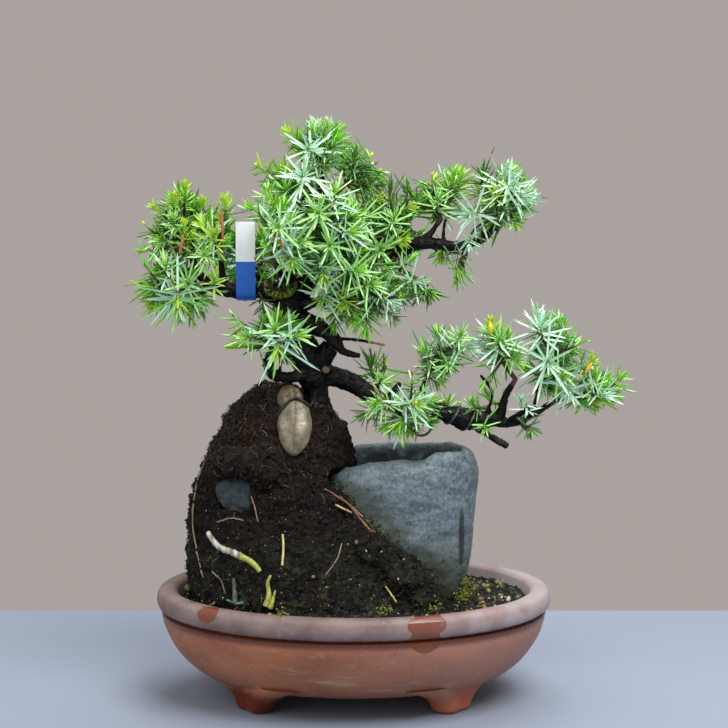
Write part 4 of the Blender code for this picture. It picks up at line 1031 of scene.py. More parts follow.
def make_soil():
    """The level soil inside the lip, a little higher at the front, where peat has washed down."""
    rings = [pot_ring(SOIL_INSET + 5, SOIL_LEVEL - 8), pot_ring(SOIL_INSET, SOIL_LEVEL - 3)]
    steps = 26
    for k in range(steps):
        shrink = (k / steps) ** 1.3 * 0.95
        ring = pot_ring(SOIL_INSET, SOIL_LEVEL) * (1 - shrink, 1 - shrink, 1)
        front = np.clip((-ring[:, 1] - 25) / 30, 0, 1) * np.clip((45 - ring[:, 0]) / 25, 0, 1)
        ring[:, 2] += 3.0 * front ** 0.7
        rings.append(ring)
    mesh = ring_mesh("soil", rings)
    swell(mesh, lambda places: 0.9 * rough(places, 9, 4) + 0.35 * rough(places, 2.5, 3))
    peat = peat_material(
        "soil_surface", (0.0025, 0.0025, 0.0023), (0.010, 0.0098, 0.0088), (0.014, 0.020, 0.006))
    piece = new_piece("soil_surface", mesh, [peat])
    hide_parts("soil")
    return mesh


def rim_rise(points):
    """How far the stone's rim rises and falls from end to end and from front to back."""
    u = (points[:, 0] - STONE_CENTRE[0]) / STONE_RIM_HALF[0]
    v = (points[:, 1] - STONE_CENTRE[1]) / STONE_RIM_HALF[1]
    return STONE_RIM_RISE[0] * u + STONE_RIM_RISE[1] * v + STONE_RIM_RISE[2] * u * v


def edge_rise(ring):
    """How far the rim's front stands up, with its notch before the right end, and its back."""
    forward = (STONE_CENTRE[1] - ring[:, 1]) / 12
    places, rises = zip(*FRONT_RIM)
    front = np.clip(forward, 0, 1) * np.interp(ring[:, 0], places, rises)
    return front + np.clip(-forward, 0, 1) * BACK_RIM_RISE


def make_stone():
    """The standing stone with the basin in its top, dented and pitted as water wears it."""
    rings = []
    for height, half_x, half_y in smooth_path(STONE_OUTSIDE + STONE_BASIN, 7):
        above = max(0.0, (height - RIM_RISE_FROM) / RIM_RISE_OVER)
        centre = (STONE_CENTRE[0] - (1 - above), STONE_CENTRE[1], height)
        ring = oval(centre, half_x, half_y, 150, STONE_POWER, STONE_RIPPLE)
        ring[:, 2] += above * rim_rise(ring) + above ** 3 * edge_rise(ring)
        rings.append(ring)
    mesh = skinned(ring_mesh("stone", rings), 0.75, 3)

    def relief(places):
        broad = rough(places, 24, 3)
        fine = rough(places, 6, 5, 7.0)
        pits = np.clip(rough(places, 3.2, 2, 19.0) - 0.40, 0, 1)
        return 1.1 * broad + 0.30 * fine - 0.9 * pits

    swell(mesh, relief)
    piece = new_piece("standing_stone", mesh, [stone_material("stone")])
    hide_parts("hollowed_stone")
    return mesh


def ball_place(centre, half):
    """The matrix that turns a unit ball into an ellipsoid of the given half sizes."""
    return Matrix.Translation(Vector(centre) * MM) @ Matrix.Diagonal((*(v * MM for v in half), 1))


def round_stone(name, centre, half, subdivisions, relief):
    """A stone grown from a ball of the given half sizes."""
    bm = bmesh.new()
    place = ball_place(centre, half)
    bmesh.ops.create_icosphere(bm, subdivisions=subdivisions, radius=1, matrix=place)
    mesh = bpy.data.meshes.new(name)
    bm.to_mesh(mesh)
    bm.free()
    return swell(mesh, relief)


def make_embedded_stone():
    def relief(places):
        facets = np.abs(rough(places, 14, 2, 4.0))
        return 3.0 * facets - 1.6 + 0.8 * rough(places, 7, 3) + 0.15 * rough(places, 2, 3)

    mesh = round_stone("embedded_stone", EMBEDDED_CENTRE, EMBEDDED_HALF, 6, relief)
    # Painted shade: the standing stone's tones darkened to 0.42, for the stone bedded in its
    # shadowed recess.
    finish = stone_material("bedded_stone", 0.42, 0.35)
    piece = new_piece("bedded_stone", mesh, [finish])
    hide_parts("embedded_stone")


def pebble_width(share):
    return math.sin(math.pi * share ** 1.08) ** 0.46


def make_pebble():
    """The egg-shaped pebble with a faint seam, and the paler stone's end above its wire."""
    lean = np.array(Matrix.Rotation(PEBBLE_LEAN, 3, "X"))
    rings = []
    for share in np.linspace(0.004, 0.996, 44):
        width = pebble_width(share)
        centre = (0, 0, PEBBLE_LENGTH * (share - 0.5))
        ring = oval(centre, width * PEBBLE_WIDTH / 2, width * PEBBLE_THICKNESS / 2, 72)
        seam = np.exp(-(ring[:, 0] / 0.45) ** 2) * (ring[:, 1] < 0)
        ring[:, 1] += 0.2 * seam
        rings.append(ring @ lean.T + PEBBLE_CENTRE)
    lobe = round_stone("lobe", *PEBBLE_LOBE, 5, lambda places: 0.5 * rough(places, 6, 3))
    mesh = skinned(combined(ring_mesh("pebble", rings), lobe), 0.4, 2)
    swell(mesh, lambda places: 0.3 * rough(places, 6, 4) + 0.08 * rough(places, 1.4, 2))
    piece = new_piece("egg_pebble", mesh, [pebble_material()])
    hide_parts("tied_pebble")


# The wood

def limb_radii(path, number):
    """The radii along a limb, swollen here and there into knots."""
    shift = Vector((number * 3.7, 0, 0))
    knots = np.array([noise.noise(Vector(place / 7.5) + shift) for place in path[:, :3]])
    return path[:, 3] * (1 + 0.26 * knots)


def root_places(bearing, reach):
    """The places along a surface root, down from the trunk's foot."""
    angle = math.radians(bearing)
    out = np.array([math.cos(angle), math.sin(angle), 0]) * reach
    return [
        (*(np.array(TRUNK_SEAT) + out * share + UP * rise), radius)
        for share, rise, radius in ROOT_PROFILE]


def make_wood(name, limbs, voxel, depth, finish, replaced):
    """Limbs fused into one skin, with bark that runs along each of them."""
    shapes = Shapes()
    samples = []
    for number, places in enumerate(limbs):
        path = smooth_path(places, 8)
        middles = path[:, :3]
        shapes.add_tube(middles, limb_radii(path, number), 16)
        for point, axes, length in zip(middles, path_frames(middles), travelled(middles)):
            samples.append((point, axes, length + number * 50))
    mesh = skinned(flip_if_inside_out(shapes.mesh(name)), voxel, 2)
    tree = KDTree(len(samples))
    for index, (point, _, _) in enumerate(samples):
        tree.insert(point, index)
    tree.balance()

    def bark(places):
        amounts = np.empty(len(places))
        for index, place in enumerate(places):
            _, found, _ = tree.find(place)
            point, (heading, across, beside), length = samples[found]
            away = place - point
            turned = Vector((away.dot(across), away.dot(beside), 0))
            around = turned.normalized() * 2.6
            along = (length + away.dot(heading)) * 0.16
            ridge = 1 - abs(noise.noise(Vector((around.x, around.y, along)) * 1.5)) * 2
            flakes = noise.fractal(Vector((around.x * 2, around.y * 2, along * 4)), 0.7, 2.0, 4)
            burls = noise.fractal(Vector(place / 5.5), 0.8, 2.0, 3)
            relief = 0.9 * ridge + 0.6 * flakes + 0.9 * burls - 0.5
            amounts[index] = depth * relief * min(1.0, 0.3 + turned.length / 5)
        return amounts

    swell(mesh, bark)
    piece = new_piece(name, mesh, [finish])
    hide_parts(*replaced)


def stubs():
    """Short stubs where twigs have died back, a few on each bough."""
    rng = np.random.default_rng(SEED + 7)
    found = []
    for name, path in PATHS.items():
        if not name.startswith("bough"):
            continue
        for share in rng.uniform(0.2, 0.97, STUBS_PER_LIMB):
            point, heading, radius = along(path, share)
            out = unit(np.cross(heading, rng.normal(size=3)) + heading * 0.4)
            tip = point + out * (radius + rng.uniform(1.0, 3.2))
            found.append([(*point, radius * 0.6), (*tip, rng.uniform(0.35, 0.6))])
    return found


def paths_of(limbs):
    return {name: smooth_path(places, 3) for name, places in limbs.items()}


def along(path, share):
    """The point, direction and radius at a share of a limb's length."""
    if share >= 1:
        return path[-1, :3], unit(path[-1, :3] - path[-2, :3]), path[-1, 3]
    lengths = np.linalg.norm(np.diff(path[:, :3], axis=0), axis=1)
    ends = np.concatenate([[0], np.cumsum(lengths)])
    left = share * ends[-1]
    index = int(np.searchsorted(ends, left, side="right")) - 1
    t = (left - ends[index]) / lengths[index]
    here = path[index] + (path[index + 1] - path[index]) * t
    return here[:3], unit(path[index + 1, :3] - path[index, :3]), here[3]


# Wire and label

def wire_piece(name, points, radius, finish):
    mesh = tube_mesh(name, points, np.full(len(points), radius), 10)
    return new_piece(name, mesh, [finish], 60)


def make_training_wire():
    """An open hook under the low right bough, then turns round the bough."""
    points = []
    for k in range(31):
        angle = math.radians(170 + 235 * k / 30)
        hook = round_about(np.array([1.0, 0, 0]), UP, angle) * TRAINING_HOOK_RADIUS
        points.append(np.array(TRAINING_HOOK_CENTRE) + hook)
    total = WIRE_TURNS * 20
    begin, end = TRAINING_WIRE_SHARES
    for k in range(total + 1):
        share = begin + (end - begin) * k / total
        middle, heading, radius = along(PATHS["bough_right_low"], share)
        side = unit(np.cross(heading, UP))
        over = np.cross(side, heading)
        angle = 2 * math.pi * k / 20 - math.radians(35)
        clear = radius + TRAINING_WIRE_RADIUS + WIRE_CLEARANCE
        points.append(middle + round_about(side, over, angle) * clear)
    finish = wire_material("training_wire", (0.055, 0.052, 0.050), (0.17, 0.165, 0.16))
    piece = wire_piece("wire_on_bough", np.array(points), TRAINING_WIRE_RADIUS, finish)
    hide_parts("training_wire")


def make_tie_wire():
    """A band across the pebble's upper part, tucked back on its left and tied to the trunk."""
    lean = np.array(Matrix.Rotation(PEBBLE_LEAN, 3, "X"))
    clear = TIE_WIRE_RADIUS + WIRE_CLEARANCE
    band = []
    for k in range(33):
        angle = math.radians(-195 + 205 * k / 32)
        cosine = math.cos(angle)
        share = 0.935 - 0.31 * max(0.0, -cosine) ** 2 - 0.10 * max(0.0, cosine) ** 2
        width = pebble_width(share)
        point = np.array([
            (PEBBLE_WIDTH / 2 * width + clear) * math.cos(angle),
            (PEBBLE_THICKNESS / 2 * width + clear) * math.sin(angle),
            PEBBLE_LENGTH * (share - 0.5)])
        band.append(lean @ point + PEBBLE_CENTRE)
    front, _, radius = along(PATHS["trunk"], TIE_WIRE_KNOT)
    knot = front + (0, -radius - clear, 0)
    halfway = (band[-1] + knot) / 2 + (0.6, -1.2, 0)
    points = smooth_path([*band[::4], halfway, knot], 6)
    finish = wire_material("tie_wire", (0.015, 0.014, 0.014), (0.055, 0.05, 0.05))
    piece = wire_piece("wire_on_pebble", points, TIE_WIRE_RADIUS, finish)
    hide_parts("tie_wire")


def label_place():
    """The middle and the radius of the left bough where the strip hangs."""
    path = PATHS["bough_left"]
    share = min((abs(along(path, k / 100)[0][0] - LABEL_X), k / 100) for k in range(101))[1]
    middle, _, radius = along(path, share)
    return middle, radius


def make_label():
    """The blank strip: white above, blue below, looped once round the left bough."""
    middle, radius = label_place()
    loop = radius + LABEL_LOOSENESS
    line = []
    for k in range(13):
        rise = k / 12
        bow = 0.9 * math.sin(math.pi * rise)
        line.append((0, -loop - bow, (LABEL_TOP - middle[2]) * (1 - rise)))
    for k in range(1, 41):
        angle = math.radians(180 + 325 * k / 40)
        line.append((0, loop * math.cos(angle), loop * math.sin(angle)))
    line = np.array(line) + (LABEL_X, middle[1], middle[2])
    rings = []
    for point, (heading, _, _) in zip(line, path_frames(line)):
        sideways = np.array([1.0, 0, 0])
        out = unit(np.cross(sideways, heading))
        corners = []
        for x, y in ((-1, -1), (0, -1.4), (1, -1), (1, 1), (0, 0.6), (-1, 1)):
            corners.append(point + sideways * x * LABEL_WIDTH / 2 + out * y * LABEL_THICKNESS / 2)
        rings.append(np.array(corners))
    mesh = ring_mesh("label", rings)
    for face in mesh.polygons:
        edge = LABEL_WHITE_ABOVE + 0.35 * (face.center.x / MM - LABEL_X)
        face.material_index = 0 if face.center.z > edge * MM else 1
    white = label_material("label_white", (0.90, 0.93, 0.98), (0.72, 0.82, 0.96))
    blue = label_material("label_blue", (0.015, 0.13, 0.60), (0.02, 0.10, 0.45))
    piece = new_piece("blank_label", mesh, [white, blue], 35)
    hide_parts("label_strip")


# The mound and what lies on it

def rod_mesh(places):
    path = smooth_path(places, 5)
    return tube_mesh("rod", path[:, :3], path[:, 3], 24)


def make_mound():
    """The steep peat mound, rough with clods, closed up round the trunk's foot."""
    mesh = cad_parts["mound"].data.copy()
    mesh.materials.clear()
    mesh.transform(Matrix.Translation(-POT_MIDDLE))
    bm = bmesh.new()
    bm.from_mesh(mesh)
    collar = ball_place(TRUNK_SEAT, COLLAR)
    bmesh.ops.create_icosphere(bm, subdivisions=4, radius=1, matrix=collar)
    bm.from_mesh(rod_mesh(PEAT_AGAINST_STONE))
    bm.from_mesh(rod_mesh(PEAT_BROW))
    bmesh.ops.remove_doubles(bm, verts=bm.verts, dist=0.00001)
    bm.to_mesh(mesh)
    bm.free()
    mesh = skinned(mesh, 1.2)
    for hollow in HOLLOWS:
        mesh = combined(mesh, rod_mesh(hollow), "DIFFERENCE")
    mesh = skinned(mesh, 0.8, 2)

    def clods(places):
        broad = 1.5 * rough(places, 17, 2, 11.0) + 1.6 * rough(places, 7, 4)
        left = np.clip((-places[:, 0] - 15) / 20, 0, 1) * np.clip((places[:, 2] - 65) / 20, 0, 1)
        return broad + 1.1 * rough(places, 2.2, 4, 5.0) - 0.1 + 1.4 * left

    swell(mesh, clods)
    peat = peat_material(
        "peat", (0.0013, 0.0010, 0.0008), (0.0055, 0.0038, 0.0026), (0.021, 0.028, 0.010))
    piece = new_piece("peat_mound", mesh, [peat])
    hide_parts("mound")
    return mesh


def surface_points(mesh, count, rng, keep):
    """Places and normals spread over a mesh by area, where keep allows them."""
    mesh.calc_loop_triangles()
    corners = np.empty(len(mesh.loop_triangles) * 3, dtype=int)
    mesh.loop_triangles.foreach_get("vertices", corners)
    corners = read_vectors(mesh.vertices, "co")[corners].reshape(-1, 3, 3) / MM
    crossed = np.cross(corners[:, 1] - corners[:, 0], corners[:, 2] - corners[:, 0])
    areas = np.linalg.norm(crossed, axis=1)
    chosen = rng.choice(len(areas), size=count, p=areas / areas.sum())
    a, b = np.sqrt(rng.random(count))[:, None], rng.random(count)[:, None]
    triangle = corners[chosen]
    places = triangle[:, 0] * (1 - a) + triangle[:, 1] * a * (1 - b) + triangle[:, 2] * a * b
    normals = crossed[chosen] / areas[chosen][:, None]
    kept = keep(places, normals)
    return places[kept], normals[kept]


def round_template(subdivisions):
    bm = bmesh.new()
    bmesh.ops.create_icosphere(bm, subdivisions=subdivisions, radius=1)
    points = np.array([vertex.co[:] for vertex in bm.verts])
    faces = np.array([[vertex.index for vertex in face.verts] for face in bm.faces])
    bm.free()
    return points, faces


def random_turns(count, rng):
    """Random rotation matrices, one a row."""
    w, x, y, z = unit_rows(rng.normal(size=(count, 4))).T
    return np.stack([
        1 - 2 * (y * y + z * z), 2 * (x * y - z * w), 2 * (x * z + y * w),
        2 * (x * y + z * w), 1 - 2 * (x * x + z * z), 2 * (y * z - x * w),
        2 * (x * z - y * w), 2 * (y * z + x * w), 1 - 2 * (x * x + y * y)], axis=1).reshape(-1, 3, 3)


def scatter(shapes, places, sizes, indices, rng, subdivisions=1, flattest=0.55):
    """Lumpy grains at the places, each with its own shape, turn and material index."""
    points, faces = round_template(subdivisions)
    turns = random_turns(len(places), rng)
    squash = rng.uniform(flattest, 1.0, (len(places), 3))
    for place, size, index, turn, flat in zip(places, sizes, indices, turns, squash):
        lumps = points * (1 + rng.uniform(-0.18, 0.18, (len(points), 1)))
        shapes.add((lumps * flat * size) @ turn.T + place, faces, [index] * len(faces))


def inside_pot(places):
    half = np.array([POT_LENGTH / 2 - GRAIN_INSET, POT_DEPTH / 2 - GRAIN_INSET])
    return np.linalg.norm(places[:, :2] / half, axis=1) < 1


def outside_stone(places):
    """Whether each place is clear of the standing stone and its basin."""
    away = np.abs(places[:, :2] - STONE_CENTRE) / (34.5, 21.5)
    return (away ** STONE_POWER).sum(axis=1) > 0.92


def surface_tree(*meshes):
    """A search tree over the faces of the meshes."""
    points, faces = [], []
    for mesh in meshes:
        first = len(points)
        points += [vertex.co / MM for vertex in mesh.vertices]
        faces += [tuple(first + corner for corner in face.vertices) for face in mesh.polygons]
    return BVHTree.FromPolygons(points, faces)


def make_clods(places, rng):
    """Clods on the mound: damp and grey low down, where the grey is partly painted wet sheen, black
    and brown above.
    """
    count = len(places)
    low = places[:, 2] + rng.normal(size=count) * 8 < 74
    # Low clods are black, dark or grey; the grey ones stand partly for painted wet sheen.
    damp_and_sheen = rng.choice((0, 1, 3), count)
    dry = rng.choice(3, count, p=(0.45, 0.35, 0.2))
    clods = Shapes()
    sizes = rng.gamma(2.0, 0.22, count) + 0.25
    scatter(clods, places, sizes, np.where(low, damp_and_sheen, dry), rng)
    finishes = mottled("clod_black", "clod_dark", "clod_brown", "clod_grey")
    new_piece("peat_clods", clods.mesh("peat_clods"), finishes)


def make_soil_grains(places, rng):
    count = len(places)
    grains = Shapes()
    sizes = rng.gamma(2.8, 0.26, count) + 0.3
    scatter(grains, places, sizes, rng.integers(0, 3, count), rng)
    finishes = mottled("clod_black", "clod_dark", "grain_grey")
    new_piece("soil_grains", grains.mesh("soil_grains"), finishes)


def at_the_ends(places):
    """0 to 1 for places low down near the pot's left and right ends, where coarse grit lies."""
    return np.clip((np.abs(places[:, 0]) - 35) / 20, 0, 1) * (places[:, 2] < 52)


def make_grit(places, soil, rng):
    """Pale grit, rarer up the mound and coarser near the pot's ends, with a few larger grains."""
    rare = np.clip((105 - places[:, 2]) / 60, 0.10, 0.75) * 0.6 + 0.4 * at_the_ends(places)
    places = places[rng.random(len(places)) < rare]
    count = len(places)
    grit = Shapes()
    sizes = rng.gamma(1.7, 0.18, count) * (1 + 1.1 * at_the_ends(places)) + 0.16
    tones = rng.choice(4, count, p=(0.5, 0.22, 0.06, 0.22))
    scatter(grit, places, sizes, tones, rng, 1, 0.35)
    ground = surface_tree(soil)
    big = [np.array(ground.find_nearest(Vector(place[:3]))[0]) for place in BIG_GRIT]
    tones = [place[3] for place in BIG_GRIT]
    scatter(grit, big, rng.uniform(1.3, 1.9, len(big)), tones, rng, 3)
    finishes = mottled("grit_yellow", "grit_tan", "grit_white", "grit_green")
    new_piece("pale_grit", grit.mesh("pale_grit"), finishes)


def add_moss_cushion(moss, rng):
    """The round cushion of moss on the left bough, darker in front and on its top."""
    grains = unit_rows(rng.normal(size=(CUSHION_GRAINS, 3)))
    centre, half = MOSS_CUSHION
    facing = -grains[:, 1] + 0.5 * grains[:, 2]
    light = rng.integers(0, 2, CUSHION_GRAINS)
    tones = np.where((facing > 0.62) | (grains[:, 2] > 0.5), 2, light)
    sizes = rng.uniform(0.5, 1.0, CUSHION_GRAINS)
    scatter(moss, grains * half * 0.86 + centre, sizes, tones, rng)


def add_moss_fringe(moss, stone, rng):
    """The fringe of moss and peat on the stone's face, along the slant where the mound meets it."""
    places, _ = surface_points(stone, FRINGE_PLACES, rng, lambda p, n: (
        (n[:, 1] < -0.2) & (p[:, 2] > 47) & (p[:, 0] > -14) & (p[:, 2] < 101)))
    past = places[:, 2] + 1.04 * places[:, 0] - 93
    kept = (past > -5) & (rng.random(len(past)) < np.exp(-np.clip(past + 2, 0, None) / 2.0))
    places = places[kept]
    count = len(places)
    sizes = rng.gamma(2.0, 0.12, count) + 0.15
    scatter(moss, places, sizes, rng.choice(4, count, p=(0.01, 0.06, 0.38, 0.55)), rng)


def make_moss(stone, rng):
    moss = Shapes()
    for clump in MOSS_CLUMPS:
        places = np.array(clump) + rng.normal(size=(CLUMP_GRAINS, 3)) * (1.6, 1.6, 1.3)
        sizes = rng.uniform(0.25, 0.6, CLUMP_GRAINS)
        scatter(moss, places, sizes, rng.integers(0, 3, CLUMP_GRAINS), rng)
    add_moss_cushion(moss, rng)
    add_moss_fringe(moss, stone, rng)
    finishes = mottled("moss_yellow", "moss_green", "moss_dark", "clod_dark")
    new_piece("moss", moss.mesh("moss"), finishes)


def make_grains(mound, soil, stone):
    """Clods, grains, grit and moss on the mound and over the soil."""
    rng = np.random.default_rng(SEED)
    on_mound, _ = surface_points(
        mound, MOUND_PLACES, rng, lambda p, n: outside_stone(p) & (p[:, 2] > 46))
    on_soil, _ = surface_points(
        soil, SOIL_PLACES, rng, lambda p, n: inside_pot(p) & outside_stone(p) & (p[:, 2] > 43))
    make_clods(on_mound[::2], rng)
    make_soil_grains(on_soil[::2], rng)
    make_grit(np.concatenate([on_mound[1::4], on_soil[1::3]]), soil, rng)
    make_moss(stone, rng)


def make_fibres(mound):
    """Hair roots and fibres that cling to the mound, longest and thickest near its top."""
    rng = np.random.default_rng(SEED + 1)
    starts, normals = surface_points(
        mound, FIBRE_PLACES, rng,
        lambda p, n: outside_stone(p) & (p[:, 2] > 50) & (n[:, 2] < 0.95))
    tree = surface_tree(mound)
    shapes = Shapes()
    for start, normal in zip(starts, normals):
        high = float(np.clip((start[2] - 85) / 40, 0, 1))
        if rng.random() > 0.16 + 0.84 * high:
            continue
        heading = unit(np.cross(normal, rng.normal(size=3)))
        point, points = start, []
        radius = rng.uniform(0.07, 0.14) + 0.03 * high
        lift = rng.uniform(0.1, 1.5)
        count = int(rng.integers(4, 7) + 3 * high)
        for k in range(count):
            rise = lift * math.sin(math.pi * (k + 0.5) / count)
            points.append(point + normal * (radius * 0.5 + rise))
            heading = unit(heading + 0.42 * rng.normal(size=3) - 0.10 * UP)
            found, facing, _, _ = tree.find_nearest(Vector(point + heading * rng.uniform(0.8, 1.7)))
            point, normal = np.array(found), np.array(facing)
        shares = (0.46, 0.34, 0.17, 0.03) if high > 0.4 else (0.60, 0.30, 0.07, 0.03)
        radii = np.linspace(radius, radius * 0.5, count)
        shapes.add_tube(np.array(points), radii, 3, int(rng.choice(4, p=shares)))
    finishes = mottled("fibre_dark", "fibre_brown", "fibre_rust", "fibre_pale")
    new_piece("root_fibres", shapes.mesh("root_fibres"), finishes)


# Each loose root, straw or sprout on the mound: its places, its radius at both ends, its material
LOOSE_GROWTH = (
    ([(-64, 79), (-61, 75.5), (-57, 73.5), (-52.6, 72.8), (-48.5, 71.5)], 1.15, 1.55, 0),
    ([(-49.5, 72), (-45, 70), (-42, 67.8), (-40.3, 66)], 1.5, 1.1, 1),
    ([(-51.8, 62), (-51.4, 57), (-51.2, 51.5)], 0.9, 1.2, 2),
    ([(-35.5, 64.5), (-36.8, 61), (-36.2, 56), (-37.5, 51.5)], 0.5, 1.5, 1),
    ([(-33.5, 58), (-34.4, 54.5), (-35.5, 51)], 0.4, 1.2, 1),
    ([(-55, 52), (-51, 51.4), (-47.5, 52)], 0.5, 0.7, 3),
    ([(-30.6, 81), (-30.2, 75), (-30.6, 68.5)], 0.5, 0.55, 4),
    ([(-12.5, 98.5), (-8.5, 95.6), (-3, 91.6), (1.3, 87), (4.7, 82.6), (9.4, 78.6)], 0.4, 0.55, 5),
    ([(-6, 94.8), (-0.5, 89.5), (2.6, 86.8), (4.2, 85.4)], 0.3, 0.5, 5),
    ([(-8, 91.5), (-4.5, 89.5), (-1, 87)], 0.5, 0.45, 4),
    ([(-45, 97), (-43, 92), (-41.5, 86)], 0.35, 0.3, 5),
    ([(-60, 84), (-54, 86.5), (-48, 86)], 0.35, 0.3, 6),
    ([(-71, 98), (-72, 88), (-72, 78), (-69, 68), (-66, 60)], 0.4, 0.3, 6),
    ([(-67, 110), (-69, 104), (-71, 99)], 0.35, 0.35, 6),
    ([(-5, 76), (-7, 70), (-12, 64)], 0.28, 0.2, 6),
    ([(-62, 63), (-58, 60), (-56, 55)], 0.3, 0.25, 6),
    ([(14, 57), (17, 53), (19, 50)], 0.45, 0.4, 4))


def make_loose_growth(tree):
    """The pale root, the sprouts and the straws, each laid on the mound where the photo has it."""
    shapes = Shapes()
    for places, first, last, index in LOOSE_GROWTH:
        path = smooth_path(places, 6)
        radii = np.linspace(first, last, len(path))
        if index == 0:
            radii *= 1 + 0.07 * np.sin(np.arange(len(path)) * 2.1)
        points = []
        for (x, z), radius in zip(path, radii):
            hit = tree.ray_cast(Vector((x, -90, z)), Vector((0, 1, 0)))[0]
            if hit is None:
                hit = tree.find_nearest(Vector((x, -25, z)))[0]
            points.append((x, hit.y - radius * 0.55, z))
        points = np.array(points)
        before = points[:, 1].copy()
        for _ in range(4):
            points[1:-1, 1] = (points[:-2, 1] + points[1:-1, 1] + points[2:, 1]) / 3
        points[:, 1] = np.minimum(points[:, 1], before) - 0.45
        shapes.add_tube(points, radii, 10, index)
    mesh = flip_if_inside_out(shapes.mesh("loose_roots"))
    finishes = [root_material(), *mottled(
        "sprout_green", "stem_grey", "leaf_teal", "straw_pale", "root_pink", "root_tan")]
    new_piece("loose_roots", mesh, finishes, 60)


# The crown

class Space:
    """The room that one mass keeps to: its ellipsoid, less what its neighbours take."""

    def __init__(self, name):
        _, _, centre, half, _ = MASSES[name]
        self.centre = np.array(centre, float)
        self.half = np.array(half, float)
        self.others = []

    def depth(self, points):
        return np.linalg.norm((points - self.centre) / self.half, axis=-1)

    def reach(self, point, way):
        """How far it is from a point inside the ellipsoid to its surface."""
        p = (point - self.centre) / self.half
        q = way / self.half
        along_way = p.dot(q) / q.dot(q)
        inside = along_way ** 2 - (p.dot(p) - 1) / q.dot(q)
        return math.sqrt(inside) - along_way if inside > 0 else 0.0

    def keeps(self, points, slack):
        """Whether points lie in the space, with so much slack past its surface."""
        own = self.depth(points)
        kept = own < 1 + slack
        for other in self.others:
            kept &= other.depth(points) > own - slack
        return kept


def make_spaces():
    """The space of each mass, with the spaces that come near it as its neighbours."""
    found = {name: Space(name) for name in MASSES}
    for space in found.values():
        for other in found.values():
            reach = max(space.half) + max(other.half)
            if other is not space and np.linalg.norm(other.centre - space.centre) < reach:
                space.others.append(other)
    return found


class Rods:
    """Lengths of limb, wire and strip that needles and twigs keep clear of."""

    def __init__(self, paths):
        self.start = np.concatenate([path[:-1, :3] for path in paths])
        self.run = np.concatenate([path[1:, :3] for path in paths]) - self.start
        self.radius = np.concatenate([path[:-1, 3] for path in paths])

    def clearance(self, points):
        away = points[:, None] - self.start
        share = np.clip((away * self.run).sum(-1) / (self.run ** 2).sum(-1), 0, 1)
        apart = np.linalg.norm(away - self.run * share[..., None], axis=-1)
        return (apart - self.radius).min(axis=1)


class Needles:
    """The needles of one piece, each with a keel, green margins and a pale band in its groove."""

    STATIONS = ((0.06, 0.85), (0.78, 0.80))  # share of the length, and share of the width
    SECTION = ((-0.5, 0.14), (-0.36, 0.03), (0.36, 0.03), (0.5, 0.14), (0.0, -0.32))
    BAND = 1  # the section's edge that carries the band

    def __init__(self):
        self.rows = []

    def add(self, base, way, over, length, width, bend, back, band):
        self.rows.append((base, way, over, length, width, bend, back, band))

    def clear(self, space, rods, farthest):
        """Drop the needles that go too far out of their mass's space or touch a limb."""
        if not self.rows:
            return
        base = np.array([row[0] for row in self.rows])
        reach = np.array([row[1] * row[3] for row in self.rows])
        tips, middles = base + reach, base + reach * 0.55
        kept = space.depth(tips) < farthest
        kept &= rods.clearance(tips) > 0.5
        kept &= rods.clearance(middles) > 0.6
        for points in (base, tips, middles):
            kept &= ~before_label(points) & ~in_sky(points)
        self.rows = [row for row, keep in zip(self.rows, kept) if keep]

    def build(self, shapes):
        columns = [np.array(column) for column in zip(*self.rows)]
        base, way, over, length, width, bend, back, band = columns
        side = np.cross(way, over)
        count = len(base)
        points = [base]
        for share, wide in self.STATIONS:
            middle = base + way * (length * share)[:, None] + over * (bend * share ** 2)[:, None]
            for x, z in self.SECTION:
                aside, above = ((value * wide * width)[:, None] for value in (x, z))
                points.append(middle + side * aside + over * above)
        points.append(base + way * length[:, None] + over * bend[:, None])
        points = np.stack(points, axis=1)
        sides = len(self.SECTION)
        low, high, tip = 1, 1 + sides, 1 + 2 * sides
        faces, edges = [], []
        for k in range(sides):
            following = (k + 1) % sides
            faces += [
                (0, low + following, low + k), (tip, high + k, high + following),
                (low + k, low + following, high + following), (low + k, high + following, high + k)]
            edges += [k] * 4
        faces = np.array(faces)
        numbers = (np.arange(count) * points.shape[1])[:, None, None]
        every = (faces[None] + numbers).reshape(-1, 3)
        on_band = np.array(edges) == self.BAND
        indices = np.where(on_band[None], band[:, None], back[:, None])
        shapes.add(points.reshape(-1, 3), every, indices.ravel().tolist())


def bezier(first, second, third, steps):
    t = np.linspace(0, 1, steps + 1)[:, None]
    return (1 - t) ** 2 * first + 2 * t * (1 - t) * second + t ** 2 * third


def before_label(points):
    """Whether points stand in front of the label, where the photo shows none."""
    gap = np.abs(points[:, 0] - LABEL_X - 0.8) < LABEL_WIDTH / 2 + 0.6
    level = (points[:, 2] > LABEL_CLEAR_ABOVE) & (points[:, 2] < LABEL_TOP + 1)
    return gap & (points[:, 1] < 0) & level


def in_sky(points):
    """Whether points, seen from the front, stand where the photo shows sky."""
    away = points - CAMERA_PLACE
    seen = CAMERA_PLACE + away * (-CAMERA_PLACE[1] / away[:, 1:2])
    found = np.zeros(len(points), bool)
    for x, z, radius in SKY:
        found |= np.hypot(seen[:, 0] - x, seen[:, 2] - z) < radius
    return found


def place_along(path, ends, where):
    """The point, heading and two vectors across the path so far along it."""
    index = min(int(np.searchsorted(ends, where, side="right")) - 1, len(path) - 2)
    heading = unit(path[index + 1] - path[index])
    across = across_from(heading)
    return path[index] + heading * (where - ends[index]), heading, across, np.cross(heading, across)


def add_needle(needles, place, heading, out, tilt, length, width, bend, back, band):
    """One needle that stands off its shoot by the tilt, with its band facing the shoot's tip."""
    way = heading * math.cos(tilt) + out * math.sin(tilt)
    over = heading * math.sin(tilt) - out * math.cos(tilt)
    needles.add(place + out * 0.25, way, over, length, width, bend, back, band)


